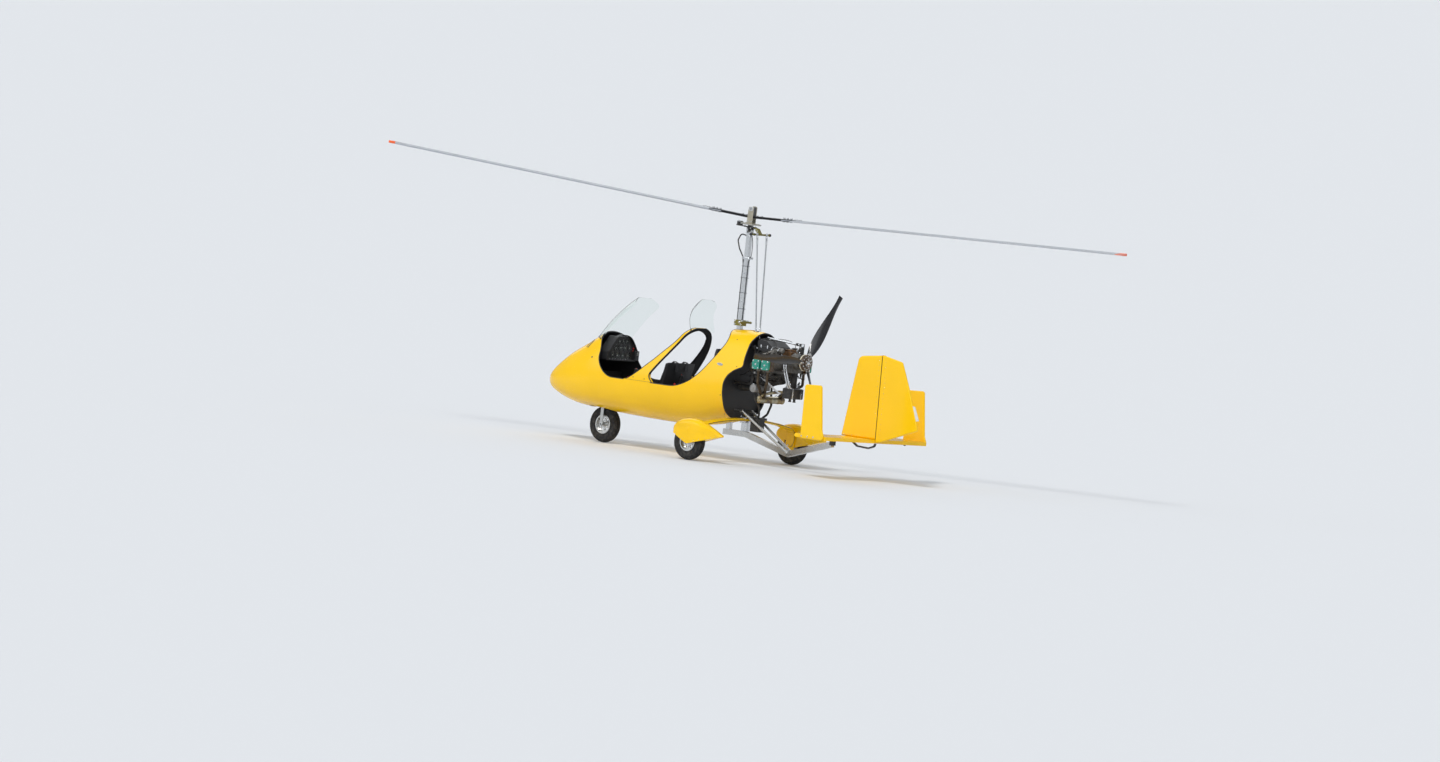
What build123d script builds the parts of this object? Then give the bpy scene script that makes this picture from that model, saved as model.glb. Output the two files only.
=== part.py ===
from build123d import *
import os
from math import cos, hypot, radians, sin, sqrt, tan

# Tandem open gyroplane with a pusher engine, in millimetres.
# +X points forward, +Y to its left, +Z up; the origin is on the ground under the rotor hub.

# Wheels and axles
WHEEL_R = 195.0
TYRE_W = 100.0
SHOULDER_R = 38.0
RIM_R = 102.0
HUB_R = 26.0
HUB_HALF = 38.0
AXLE_R = 12.5
AXLE_PLAY = 0.05
NOSE_WHEEL_X = 1723.0
MAIN_WHEEL_X = -193.0
TRACK = 1700.0
TOW_BORE_R = 8.0
SPOKE_HOLES = 6

# Nose fork
STEER_X = 1762.0
FORK_GAP = 10.0
FORK_PLATE = 12.0
FORK_W = 40.0
CROWN_T = 24.0
CROWN_RISE = 18.0
STEER_TUBE_R = 20.0
STEER_TUBE_TOP = 640.0

# Hull
SKIN = 6.0
SILL_Z = 724.0
# Hull sections: station, bottom, widest height, top, half width, lower shoulder radius, crown radius
HULL = (
    (2510, 572, 602, 636, 34, 26, 26),
    (2478, 520, 606, 694, 104, 74, 74),
    (2392, 470, 616, 772, 176, 118, 118),
    (2250, 420, 632, 884, 238, 160, 150),
    (2020, 375, 660, 1030, 298, 205, 175),
    (1750, 358, 690, 1196, 340, 230, 190),
    (1300, 336, 710, 1290, 366, 255, 200),
    (820, 326, 720, 1336, 376, 262, 200),
    (380, 338, 730, 1372, 376, 258, 195),
    (0, 400, 740, 1400, 366, 230, 190),
    (-400, 520, 760, 1388, 336, 170, 180),
)
ARC_TURN = 30.0
WELL_X = (1560.0, 1895.0)
WELL_HALF = 128.0
WELL_R = 60.0

# Mast, keel and brace
MAST_X = 60.0
MAST_Y = 40.0
MAST_FOOT_Z = 335.0
MAST_TOP_Z = 2420.0
KEEL_H = 60.0
KEEL_W = 50.0
TUBE_WALL = 3.0
KEEL_ROUTE = ((60, 305), (-250, 305), (-850, 160), (-1440, 330))
BRACE_R = 14.5
MAST_GAP = 6.0

# Main gear
LEG_X = -225.0
LEG_CHORD = 110.0
LEG_T = 24.0
LEG_Y = 765.0
LEG_ROUTE = ((0, 458), (110, 458), (280, 450), (520, 424), (700, 390))
LEG_FOOT_Z = 160.0
SPAT_GAP = 11.0
SPAT_WALL = 12.0
SPAT_CLEAR = 12.0

# Tail
SPAN_HALF = 850.0
TAIL_Z = 425.0
TAIL_T = 40.0
TAIL_X = (-2030.0, -1600.0)
TAIL_SKIN = 5.0
TAIL_RIB = 60.0
FIN_T = 44.0
TIP_FIN_T = 28.0
RUDDER_T = 28.0
HINGE = ((-2038.0, 418.0), (-2018.0, 1338.0))
HINGE_R = 18.0
HINGE_GAP = 6.0

# Engine, centred on the crankshaft
CRANK_Z = 1080.0
ENGINE_X = (-790.0, -455.0)
CASE_HALF = 95.0
BORE_R = 50.0
CYL_OUT = 250.0
COVER_OUT = 345.0
CYL_X = (-560.0, -685.0)
BANK_SHIFT = 28.0
FIN_COUNT = 6
FIREWALL_X = -112.0

# Propeller
PROP_X = -958.0
PROP_Z = 1144.0
PROP_HUB_R = 86.0
PROP_HUB_T = 46.0
PROP_FIRST = 57.0
BLADE_COUNT = 3
# Propeller blade sections: radius, chord, thickness, pitch
PROP_BLADE = ((70, 50, 40, 62), (200, 104, 24, 40), (500, 98, 15, 23), (860, 58, 6, 14))

# Rotor head and rotor
ROLL_Z = 2446.0
PITCH_Z = 2468.0
HEAD_TILT = 2.1
ROTOR_Z = 2600.0
ROTOR_R = 4200.0
ROTOR_AZ = 20.0
CONE = 2.86
TEETER_Z = 2690.0
TEETER_R = 10.0
CHEEK_IN = 46.0
CHEEK_T = 10.0
BAR_R = 470.0
BAR_HALF = 40.0
BAR_T = 24.0
GRIP_R = 340.0
TANG_T = 12.0
BLADE_CHORD = 200.0
BLADE_T = 24.0
TIP_BAND = 75.0
RING_R = 110.0
PIN_R = 8.0
ROD_TOP = (-172.0, 80.0, 2430.0)
ROD_FOOT = (-262.0, 30.0, 1330.0)
ROD_R = 8.0
LEVER_X = -150.0
LEVER_Z = 2430.0


def block(x0, x1, y0, y1, z0, z1):
    return Pos((x0 + x1) / 2, (y0 + y1) / 2, (z0 + z1) / 2) * Box(abs(x1 - x0), abs(y1 - y0), abs(z1 - z0))


def rod(a, b, r):
    """A round bar from point a to point b."""
    a, b = Vector(*a), Vector(*b)
    foot = (Align.CENTER, Align.CENTER, Align.MIN)
    return Plane(origin=a, z_dir=b - a) * Cylinder(r, (b - a).length, align=foot)


def outline(points, radius=0.0):
    """A closed face on the XY plane, with every corner rounded by one radius or its own."""
    if isinstance(radius, (int, float)) and radius == 0:
        return make_face(Polyline(*points, close=True))
    return make_face(FilletPolyline(*points, radius=radius, close=True))


def curve(points, sharp=(), most=900.0):
    """An outline whose corners are arcs as large as their two runs allow, but for the sharp ones."""
    radii = []
    for i, (x, y) in enumerate(points):
        ax, ay = x - points[i - 1][0], y - points[i - 1][1]
        after = points[(i + 1) % len(points)]
        bx, by = after[0] - x, after[1] - y
        la, lb = hypot(ax, ay), hypot(bx, by)
        cosine = (ax * bx + ay * by) / (la * lb)
        bend = sqrt(max(1 - cosine, 1e-9) / max(1 + cosine, 1e-9))
        radii.append(1.0 if i in sharp else min(0.46 * min(la, lb) / bend, most))
    return outline(points, radii)


def rounded(body, thickness, r):
    """A plate between two faces square to Y, with the edges of both faces rounded."""
    rim = [e for e in body.edges() if abs(abs(e.center().Y - body.center().Y) - thickness / 2) < 0.01]
    return fillet(rim, r)


def side(face, y0, y1):
    """A face drawn in X and Z, made solid from y0 to y1."""
    return extrude(Pos(0, y0, 0) * (Plane.XZ * face), amount=y1 - y0, dir=(0, 1, 0))


def front(face, x0, x1):
    """A face drawn in Y and Z, made solid from x0 to x1."""
    return extrude(Pos(x0, 0, 0) * (Plane.YZ * face), amount=x1 - x0, dir=(1, 0, 0))


def plan(face, z0, z1):
    """A face drawn in X and Y, made solid from z0 to z1."""
    return extrude(Pos(0, 0, z0) * face, amount=z1 - z0, dir=(0, 0, 1))


def band(route, thickness):
    """The outline points of a strip of one thickness that follows a route."""
    half = thickness / 2
    left, right = [], []
    for i, (x, y) in enumerate(route):
        before = route[max(i - 1, 0)]
        after = route[min(i + 1, len(route) - 1)]
        if i in (0, len(route) - 1):
            ux, uy = after[0] - before[0], after[1] - before[1]
            length = hypot(ux, uy)
            nx, ny, k = -uy / length, ux / length, half
        else:
            ax, ay = x - before[0], y - before[1]
            bx, by = after[0] - x, after[1] - y
            la, lb = hypot(ax, ay), hypot(bx, by)
            nx, ny = -ay / la - by / lb, ax / la + bx / lb
            length = hypot(nx, ny)
            nx, ny = nx / length, ny / length
            k = half / (nx * -ay / la + ny * ax / la)
        left.append((x + nx * k, y + ny * k))
        right.append((x - nx * k, y - ny * k))
    return left + right[::-1]


def pipe(points, r, bend):
    """A round tube along straight runs joined by arcs of one bend radius."""
    path = FilletPolyline(*points, radius=bend) if len(points) > 2 else Polyline(*points)
    start = Plane(origin=path @ 0, z_dir=path % 0)
    return sweep(start * Circle(r), path=path)


def oval_quarter(width, depth, corner):
    """A quarter oval of three tangent arcs: its two joints and the middles of its side and corner arcs."""
    a = radians(ARC_TURN)
    k = 1 - cos(a)
    rest_w = width - corner * (cos(a) - sin(a))
    rest_d = depth - corner * (cos(a) - sin(a))
    side_r = (sin(a) * rest_d - k * rest_w) / (sin(a) ** 2 - k**2)
    end_r = (sin(a) * rest_w - k * rest_d) / (sin(a) ** 2 - k**2)
    first = (width - side_r * k, side_r * sin(a))
    second = (end_r * sin(a), depth - end_r * k)
    on_side = (width - side_r * (1 - cos(a / 2)), side_r * sin(a / 2))
    on_corner = tuple(p + corner * (sqrt(0.5) - q) for p, q in zip(first, (cos(a), sin(a))))
    return first, second, on_side, on_corner


def hull_section(row, inset):
    """One hull section as a face of ten tangent arcs, moved in from the skin by an inset."""
    x, bottom, middle, top, half, low_r, high_r = row
    half -= inset
    edges = []
    halves = ((-1, middle - bottom - inset, low_r - inset), (1, top - middle - inset, high_r - inset))
    for sign_z, depth, corner in halves:
        first, second, on_side, on_corner = oval_quarter(half, depth, corner)
        arcs = []
        for sign_y in (1, -1):
            quarter = ((half, 0), on_side, first, on_corner, second)
            at = [(x, sign_y * y, middle + sign_z * z) for y, z in quarter]
            arcs.append([ThreePointArc(*at[:3]), ThreePointArc(*at[2:])])
        z = middle + sign_z * second[1]
        end = ThreePointArc((x, second[0], z), (x, 0, middle + sign_z * depth), (x, -second[0], z))
        right, left = arcs
        ring = [right[0], right[1], end, left[1], left[0]]
        edges += ring if sign_z < 0 else ring[::-1]
    return Face(Wire([e.edge() for e in edges]))


def hull_body(inset, stations=HULL):
    return loft([hull_section(row, inset) for row in stations])


outer = hull_body(0.0)
inner = hull_body(SKIN) & block(HULL[-1][0], HULL[0][0] - 2 * SKIN, -500, 500, 200, 1600)

# Side view outlines of what is open in the hull, each point (x, z)
COCKPITS = (
    (1775, 1600), (1768, 1215), (1700, 1120), (1645, 1010), (1640, 900), (1562, 790), (1450, SILL_Z),
    (507, SILL_Z), (330, 790), (165, 920), (35, 1100), (-40, 1240), (-48, 1330), (30, 1398), (60, 1600),
)
TAIL_OPEN = (
    (-372, 1600), (-368, 1340), (-345, 1287), (-350, 1100), (-362, 1022), (-275, 992), (-190, 925),
    (-150, 840), (-152, 752), (-164, 605), (-138, 440), (-138, 200), (-600, 200), (-600, 1600),
)


def fuselage_shell():
    body = outer - inner
    body -= side(curve(COCKPITS, (0, 1, 13, 14)), -500, 500)
    body -= side(curve(TAIL_OPEN, (0, 10, 11, 12, 13)), -500, 500)
    body -= plan(Rectangle(MAST_X + 2 * MAST_GAP, MAST_Y + 2 * MAST_GAP), 300, 1600)
    well = RectangleRounded(WELL_X[1] - WELL_X[0], 2 * WELL_HALF, WELL_R)
    body -= plan(Pos((WELL_X[0] + WELL_X[1]) / 2, 0) * well, 300, 460)
    return body - block(-310, -205, -60, 60, 1300, 1500)


# Cockpit bow: a hoop of one thickness that leans back between the two cockpits
BOW_T = 34.0
BOW_TOP_Z = 1356.0
BOW_SIDE = (
    (1230, SILL_Z), (1160, 744), (1032, 832), (864, 968), (705, 1122), (628, 1206), (560, BOW_TOP_Z),
    (520, BOW_TOP_Z), (600, 1180), (700, 1040), (892, 800), (822, SILL_Z),
)


def cockpit_bow():
    return (outer & side(curve(BOW_SIDE, (0, 6, 7, 11)), -500, 500)) - hull_body(BOW_T, HULL[6:])


SCREEN_T = 4.0
# Screen stations: x, z, half width, sweep back of the edges, lean of the surface's normal
FRONT_SCREEN = (
    (1850, 1150, 240, 150, 45), (1787, 1235, 236, 145, 45), (1647, 1388, 228, 135, 47),
    (1504, 1516, 218, 125, 52), (1370, 1612, 208, 115, 56),
)
REAR_SCREEN = (
    (585, 1330, 200, 80, 10), (618, 1450, 196, 85, 15), (600, 1560, 186, 80, 32), (530, 1650, 172, 70, 48),
    (455, 1706, 160, 62, 58),
)
# What is kept of each screen in front view: half widths low and high, top
SCREEN_CUT = ((238, 190, 1592), (205, 160, 1664))


def screen(stations, thickness, cut):
    """A clear blown screen, lofted through thin arcs and cut to a round top in front view."""
    low, high, top = cut
    edge = ((-low, 1000), (low, 1000), (low, top - 230), (high, top), (-high, top), (-low, top - 230))
    face = curve(edge, (0, 1), 190)
    faces = []
    for x, z, half, back, lean in stations:
        dx, dz = -cos(radians(lean)), -sin(radians(lean))
        rim = []
        for t in (0.0, thickness):
            rim.append(((x + t * dx, 0, z + t * dz), (x + (t + back) * dx, half, z + (t + back) * dz)))
        (mid0, left0), (mid1, left1) = rim
        right0, right1 = [(p[0], -p[1], p[2]) for p in (left0, left1)]
        ends = [Line(right0, right1), Line(left1, left0)]
        ring = [ThreePointArc(left0, mid0, right0), ends[0], ThreePointArc(right1, mid1, left1), ends[1]]
        faces.append(Face(Wire([e.edge() for e in ring])))
    return loft(faces) & front(face, 0, 2500)


# Seats, side view outlines of pan and back, each point (x, z)
SEAT_HALF = 215.0
FRONT_SEAT = ((1330, 400), (1330, 478), (985, 455), (800, 960), (735, 960), (900, 400))
REAR_SEAT = (
    (690, 430), (690, 508), (330, 486), (200, 1000), (130, 1180), (76, 1180), (140, 960), (262, 400),
)


def seat(points, half):
    body = side(outline(points, 24), -half, half)
    return body & inner


def instrument_panel():
    x0, x1 = 1600, 1706
    face = outline(((-240, 890), (240, 890), (246, 985), (100, 1150), (-100, 1150), (-246, 985)), 18)
    side_pod = block(1560, 1600, -238, -178, 905, 1005)
    return (front(face, x0, x1) & inner) + side_pod


def firewall():
    return block(FIREWALL_X - 12, FIREWALL_X, -500, 500, 300, 1500) & inner


def nose_bulkhead():
    plate = block(1832, 1842, -400, 400, 300, 760) & inner
    plate -= block(1800, 1900, -142, 142, 300, 455)
    bore = plan(Circle(STEER_TUBE_R + AXLE_PLAY), 470, 600)
    head = Pos(STEER_X, 0, 0) * (plan(Circle(34), 470, 600) - bore)
    web = block(STEER_X + 30, 1832, -8, 8, 475, 595)
    return plate + head + web


def rudder_pedals():
    parts = []
    for s in (-1, 1):
        stub = rod((1832, s * 150, 520), (1790, s * 150, 520), 9)
        pad = block(1776, 1790, s * 150 - 38, s * 150 + 38, 480, 590)
        parts.append(stub + pad)
    return Compound(parts)


def control_sticks():
    parts = []
    for x in (1400, 760):
        stick = pipe(((x, 0, 352), (x + 40, 0, 520), (x - 10, 0, 720)), 11, 60)
        grip = rod((x - 10, 0, 715), (x - 30, 0, 820), 18)
        parts.append((stick + grip) & inner)
    return Compound(parts)


def mast():
    body = plan(RectangleRounded(MAST_X, MAST_Y, 6), MAST_FOOT_Z, MAST_TOP_Z)
    plate = block(-38, 38, -32, 32, MAST_TOP_Z, MAST_TOP_Z + 8)
    ears = [block(s * 24, s * 36, -18, 18, MAST_TOP_Z + 8, ROLL_Z + 16) for s in (-1, 1)]
    body = body + plate + ears[0] + ears[1]
    return body - rod((-60, 0, ROLL_Z), (60, 0, ROLL_Z), PIN_R + AXLE_PLAY)


def mast_fittings():
    hole = block(-MAST_X / 2, MAST_X / 2, -MAST_Y / 2, MAST_Y / 2, 1400, 2300)
    low = block(-52, 52, -40, 40, 1440, 1500) - hole
    bar = rod((-66, -95, 1480), (-66, 95, 1480), 11) + block(-66, -52, -20, 20, 1466, 1494)
    high = block(-56, 44, -30, 30, 2148, 2172) - hole
    return Compound([low + bar, high])


def keel_bar():
    return side(outline(band(KEEL_ROUTE, KEEL_H)), -KEEL_W / 2, KEEL_W / 2)


def keel_tube():
    half = KEEL_W / 2 - TUBE_WALL
    hollow = side(outline(band(KEEL_ROUTE, KEEL_H - 2 * TUBE_WALL)), -half, half)
    return keel_bar() - (hollow & block(KEEL_ROUTE[-1][0] + 14, KEEL_ROUTE[0][0] - 6, -60, 60, 0, 500))


def brace_tubes():
    parts = []
    for s in (-1, 1):
        run = rod((FIREWALL_X - 12, s * 80, 548), (-232, s * 80, 548), BRACE_R)
        parts.append(run + rod((-232, s * 80, 545), (-872, s * 40, 170), BRACE_R))
    return Compound(parts)


def gear_bow():
    route = [(-y, z) for y, z in LEG_ROUTE[:0:-1]] + list(LEG_ROUTE[1:])
    tips = [(-LEG_Y, LEG_FOOT_Z), (-LEG_Y, 372)] + route + [(LEG_Y, 372), (LEG_Y, LEG_FOOT_Z)]
    edge = band(tips, LEG_T)
    ends = (0, len(tips) - 1, len(tips), 2 * len(tips) - 1)
    strip = front(curve(edge, ends, 300), LEG_X - LEG_CHORD / 2, LEG_X + LEG_CHORD / 2)
    sides = [e for e in strip.edges() if abs(abs(e.center().X - LEG_X) - LEG_CHORD / 2) < 0.01]
    rim = [e for e in sides if e.length > 30]
    return fillet(rim, LEG_T / 2 - 4)


def gear_saddle():
    top = 458 + LEG_T / 2
    clamp = block(LEG_X - 48, LEG_X + 48, -60, 60, top, top + 14)
    base = block(LEG_X - 48, LEG_X + 48, -60, 60, 458 - LEG_T / 2 - 14, 458 - LEG_T / 2)
    posts = block(LEG_X - 40, LEG_X + 40, -KEEL_W / 2, KEEL_W / 2, 338, 458 - LEG_T / 2 - 14)
    return Compound([clamp, base + posts])


def main_axles():
    parts = []
    for s in (-1, 1):
        y0 = s * (LEG_Y + LEG_T / 2)
        y1 = s * (TRACK / 2 + HUB_HALF + 5)
        flange = rod((MAIN_WHEEL_X, y0, WHEEL_R), (MAIN_WHEEL_X, y0 + s * 6, WHEEL_R), 30)
        axle = rod((MAIN_WHEEL_X, y0, WHEEL_R), (MAIN_WHEEL_X, y1, WHEEL_R), AXLE_R)
        parts.append(flange + axle)
    return Compound(parts)


# Wheel spat stations: x, top, half width, shoulder radius; and its lower edge in side view
SPAT = (
    (26, 320, 20, 16), (12, 352, 44, 34), (-28, 392, 63, 46), (-100, 424, 74, 52), (-205, 441, 75, 54),
    (-330, 428, 74, 52), (-450, 386, 58, 42), (-560, 340, 38, 28), (-642, 306, 16, 12),
)
SPAT_EDGE = (
    (60, 600), (60, 276), (-20, 262), (-205, 172), (-260, 186), (-642, 290), (-700, 296), (-700, 600),
)


def spat_section(x, top, half, corner):
    """One arch across the wheel, drawn from its left foot over the top to its right foot."""
    k = corner * (1 - sqrt(0.5))
    arch = ((half, 140), (half, top - corner), (half - k, top - k), (half - corner, top))
    right = [(x, -y, z) for y, z in arch]
    left = [(x, -y, z) for x, y, z in right]
    ring = [
        Line(left[0], left[1]), ThreePointArc(*left[1:]), Line(left[3], right[3]),
        ThreePointArc(*right[:0:-1]), Line(right[1], right[0]), Line(right[0], left[0]),
    ]
    return Face(Wire([e.edge() for e in ring]))


def wheel_spats():
    parts = []
    inside = TRACK / 2 - TYRE_W / 2 - SPAT_GAP
    outside = TRACK / 2 + TYRE_W / 2 + SPAT_GAP
    pod = loft([spat_section(*row) for row in SPAT]) & side(curve(SPAT_EDGE, (0, 1, 6, 7), 60), -200, 200)
    for s in (-1, 1):
        body = Pos(0, s * TRACK / 2, 0) * pod
        lo, hi = sorted((s * inside, s * outside))
        well = side(Pos(MAIN_WHEEL_X, WHEEL_R) * Circle(WHEEL_R + SPAT_CLEAR), lo, hi)
        body -= fillet(well.edges().filter_by(GeomType.CIRCLE), SHOULDER_R + SPAT_CLEAR - 2)
        lo, hi = sorted((s * (inside - SPAT_WALL - 4), s * inside))
        body -= block(MAIN_WHEEL_X - 60, MAIN_WHEEL_X + 60, lo, hi, 150, 262)
        lo, hi = sorted((s * LEG_Y, s * (LEG_Y + LEG_T / 2)))
        reach = LEG_CHORD / 2 + 4
        body -= block(LEG_X - reach, LEG_X + reach, lo, hi, LEG_FOOT_Z - 10, 400)
        parts.append(body)
    return Compound(parts)


def tyre(centre):
    half = TYRE_W / 2
    profile = (
        (RIM_R, -half + 8), (RIM_R + 8, -half), (WHEEL_R, -half), (WHEEL_R, half), (RIM_R + 8, half),
        (RIM_R, half - 8),
    )
    return Pos(*centre) * revolve(outline(profile, (3, 3, SHOULDER_R, SHOULDER_R, 3, 3)), axis=Axis.Y)


def rim(centre, bore):
    half = TYRE_W / 2 - 8
    profile = (
        (RIM_R, -half), (RIM_R, half), (RIM_R - 12, half), (RIM_R - 12, 8), (HUB_R, 8), (HUB_R, HUB_HALF),
        (bore, HUB_HALF), (bore, -HUB_HALF), (HUB_R, -HUB_HALF), (HUB_R, -8), (RIM_R - 12, -8),
        (RIM_R - 12, -half),
    )
    body = revolve(outline(profile), axis=Axis.Y)
    for i in range(SPOKE_HOLES):
        a = radians(i * 360 / SPOKE_HOLES)
        c = (58 * cos(a), 58 * sin(a))
        body -= rod((c[0], -20, c[1]), (c[0], 20, c[1]), 15)
    return Pos(*centre) * body


def nose_fork():
    y = TYRE_W / 2 + FORK_GAP
    out = y + FORK_PLATE
    low, high = NOSE_WHEEL_X - FORK_W / 2, NOSE_WHEEL_X + FORK_W / 2
    top = 2 * WHEEL_R + CROWN_RISE
    crown = block(low, STEER_X + 28, -out, out, top, top + CROWN_T)
    body = crown + Pos(STEER_X, 0, 0) * plan(Circle(STEER_TUBE_R), top, STEER_TUBE_TOP)
    for s in (-1, 1):
        body += block(low, high, s * y, s * out, WHEEL_R, top)
        body += rod((NOSE_WHEEL_X, s * y, WHEEL_R), (NOSE_WHEEL_X, s * out, WHEEL_R), FORK_W / 2)
    body += rod((NOSE_WHEEL_X, -out - 8, WHEEL_R), (NOSE_WHEEL_X, out + 8, WHEEL_R), AXLE_R)
    return body - rod((NOSE_WHEEL_X, -100, WHEEL_R), (NOSE_WHEEL_X, 100, WHEEL_R), TOW_BORE_R)


def stabilizer():
    half = SPAN_HALF - TIP_FIN_T / 2
    slab = block(TAIL_X[0], TAIL_X[1], -half, half, TAIL_Z - TAIL_T / 2, TAIL_Z + TAIL_T / 2)
    slab = fillet(slab.edges().filter_by(Axis.Y).group_by(Axis.X)[-1], TAIL_T / 2 - 1)
    depth = TAIL_T / 2 - TAIL_SKIN
    for s in (-1, 1):
        lo, hi = sorted((s * TAIL_RIB, s * (half - TAIL_SKIN)))
        slab -= block(TAIL_X[0] + TAIL_SKIN, TAIL_X[1] - 16, lo, hi, TAIL_Z - depth, TAIL_Z + depth)
    return slab - hinge_bar(HINGE_R + HINGE_GAP, 40)


def centre_fin():
    top = TAIL_Z + TAIL_T / 2
    face = outline(((-1556, top), (-1690, 1300), (-2018, 1338), (-2042, top)), (8, 70, 8, 8))
    body = side(face, -FIN_T / 2, FIN_T / 2)
    rim = [e for e in body.edges() if abs(abs(e.center().Y) - FIN_T / 2) < 0.01]
    body = fillet([e for e in rim if e.center().Z > top + 1 and e.center().X > -2000], FIN_T / 2 - 4)
    hollow = outline(((-1592, top + 12), (-1702, 1282), (-1978, 1312), (-2000, top + 12)), (8, 56, 8, 8))
    body -= side(hollow, TAIL_SKIN - FIN_T / 2, FIN_T / 2 - TAIL_SKIN)
    return body - hinge_bar(HINGE_R + HINGE_GAP, 40)


def hinge_bar(r, over):
    (x0, z0), (x1, z1) = HINGE
    k = over / hypot(x1 - x0, z1 - z0)
    return rod((x0 - (x1 - x0) * k, 0, z0 - (z1 - z0) * k), (x1 + (x1 - x0) * k, 0, z1 + (z1 - z0) * k), r)


def rudder():
    (x0, z0), (x1, z1) = HINGE
    edge = ((x0, z0), (x1, z1), (-2275, 1292), (-2413, 1003), (-2560, 650), (-2575, 594), (x0 - 40, z0))
    plate = side(outline(edge, (2, 2, 30, 60, 20, 20, 12)), -RUDDER_T / 2, RUDDER_T / 2)
    faces = [e for e in plate.edges() if abs(abs(e.center().Y) - RUDDER_T / 2) < 0.01]
    plate = fillet([e for e in faces if e.center().X < x0 - 12], RUDDER_T / 2 - 4)
    hollow = (
        (-2072, 456), (-2054, 1310), (-2262, 1272), (-2396, 996), (-2540, 652), (-2546, 612), (-2090, 450),
    )
    hollow = outline(hollow, (4, 4, 16, 45, 8, 8, 4))
    plate -= side(hollow, TAIL_SKIN - RUDDER_T / 2, RUDDER_T / 2 - TAIL_SKIN)
    tab = side(outline(((-2466, 852), (-2506, 842), (-2576, 704), (-2532, 694)), 4), -4, 4)
    return plate + hinge_bar(HINGE_R, 0) + tab


def tip_fins():
    parts = []
    for s in (-1, 1):
        edge = ((-1700, 400), (-1695, 968), (-1920, 978), (-1985, 500), (-2032, 400))
        face = outline(edge, (30, 30, 30, 60, 40))
        plate = side(face, s * SPAN_HALF - TIP_FIN_T / 2, s * SPAN_HALF + TIP_FIN_T / 2)
        plate = rounded(plate, TIP_FIN_T, TIP_FIN_T / 2 - 3)
        inside = ((-1718, 418), (-1713, 952), (-1906, 960), (-1966, 498), (-2004, 418))
        half = TIP_FIN_T / 2 - TAIL_SKIN
        hollow = side(outline(inside, (15, 15, 15, 45, 25)), s * SPAN_HALF - half, s * SPAN_HALF + half)
        parts.append(plate - hollow)
    return Compound(parts)


def tail_mount():
    bottom = TAIL_Z - TAIL_T / 2
    pads = block(-1660, -1452, -40, 40, bottom - 18, bottom)
    post = block(-1452, -1430, -40, 40, 320, bottom)
    return pads + post - keel_bar()


def tail_skid():
    bottom = TAIL_Z - TAIL_T / 2
    route = ((-1700, bottom - 8), (-1780, 352), (-1940, 345), (-2010, 372), (-2024, bottom - 6))
    return side(outline(band(route, 16)), -11, 11)


def crankcase():
    case = block(ENGINE_X[0], ENGINE_X[1], -CASE_HALF, CASE_HALF, CRANK_Z - 105, CRANK_Z + 100)
    case = fillet(case.edges().filter_by(Axis.X), 26)
    case += rod((ENGINE_X[1], 0, CRANK_Z), (ENGINE_X[1] + 60, 0, CRANK_Z), 122)
    case += rod((ENGINE_X[1] + 60, 0, CRANK_Z), (ENGINE_X[1] + 68, 0, CRANK_Z), 96)
    for x in (ENGINE_X[0] + 70, ENGINE_X[0] + 160):
        case += block(x, x + 10, -CASE_HALF - 8, CASE_HALF + 8, CRANK_Z - 60, CRANK_Z + 60)
    for s, x in cylinder_places():
        case -= rod((x, s * CASE_HALF, CRANK_Z), (x, s * (CASE_HALF + 12), CRANK_Z), BORE_R + 1)
    case += rod((ENGINE_X[0] + 40, 62, CRANK_Z - 110), (ENGINE_X[1] - 60, 62, CRANK_Z - 110), 32)
    return case + rod((ENGINE_X[1] + 20, -66, CRANK_Z - 118), (ENGINE_X[1] - 40, -66, CRANK_Z - 118), 38)


def cylinder_places():
    for s in (1, -1):
        for x in CYL_X:
            yield s, x - (BANK_SHIFT if s < 0 else 0)


def cylinders():
    parts = []
    for s, x in cylinder_places():
        body = rod((x, s * CASE_HALF, CRANK_Z), (x, s * CYL_OUT, CRANK_Z), BORE_R)
        pitch = (CYL_OUT - CASE_HALF - 20) / FIN_COUNT
        for i in range(FIN_COUNT):
            y = s * (CASE_HALF + 14 + i * pitch)
            body += rod((x, y, CRANK_Z), (x, y + s * 7, CRANK_Z), BORE_R + 9)
        parts.append(body)
    return Compound(parts)


def cylinder_heads():
    parts = []
    for s, x in cylinder_places():
        lo, hi = sorted((s * CYL_OUT, s * (COVER_OUT - 32)))
        parts.append(block(x - 54, x + 54, lo, hi, CRANK_Z - 62, CRANK_Z + 52))
    return Compound(parts)


def valve_covers():
    parts = []
    for s, x in cylinder_places():
        lo, hi = sorted((s * (COVER_OUT - 32), s * COVER_OUT))
        cover = block(x - 48, x + 48, lo, hi, CRANK_Z - 56, CRANK_Z + 46)
        ends = cover.edges().filter_by(Axis.Y)
        parts.append(fillet(ends, 18))
    return Compound(parts)


def gearbox():
    case = rod((-800, 0, PROP_Z), (-905, 0, PROP_Z), 84)
    case += block(-850, ENGINE_X[0], -78, 78, CRANK_Z - 60, PROP_Z)
    flange = rod((-905, 0, PROP_Z), (PROP_X + PROP_HUB_T / 2 + 5, 0, PROP_Z), 55)
    shaft = rod((-905, 0, PROP_Z), (PROP_X - 10, 0, PROP_Z), 15)
    return case + flange + shaft


def carburettors():
    parts = []
    for s in (-1, 1):
        x, y, z = -665, s * 155, CRANK_Z + 160
        body = rod((x, y, z - 62), (x, y, z + 20), 32) + rod((x + 52, y, z), (x - 60, y, z), 27)
        for cyl_side, cyl_x in cylinder_places():
            if cyl_side == s:
                body += rod((cyl_x, s * 280, CRANK_Z + 52), (cyl_x, s * 280, CRANK_Z + 90), 17)
                body += rod((cyl_x, s * 282, CRANK_Z + 84), (x, s * 170, z), 15)
        parts.append(body)
    return Compound(parts)


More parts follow.
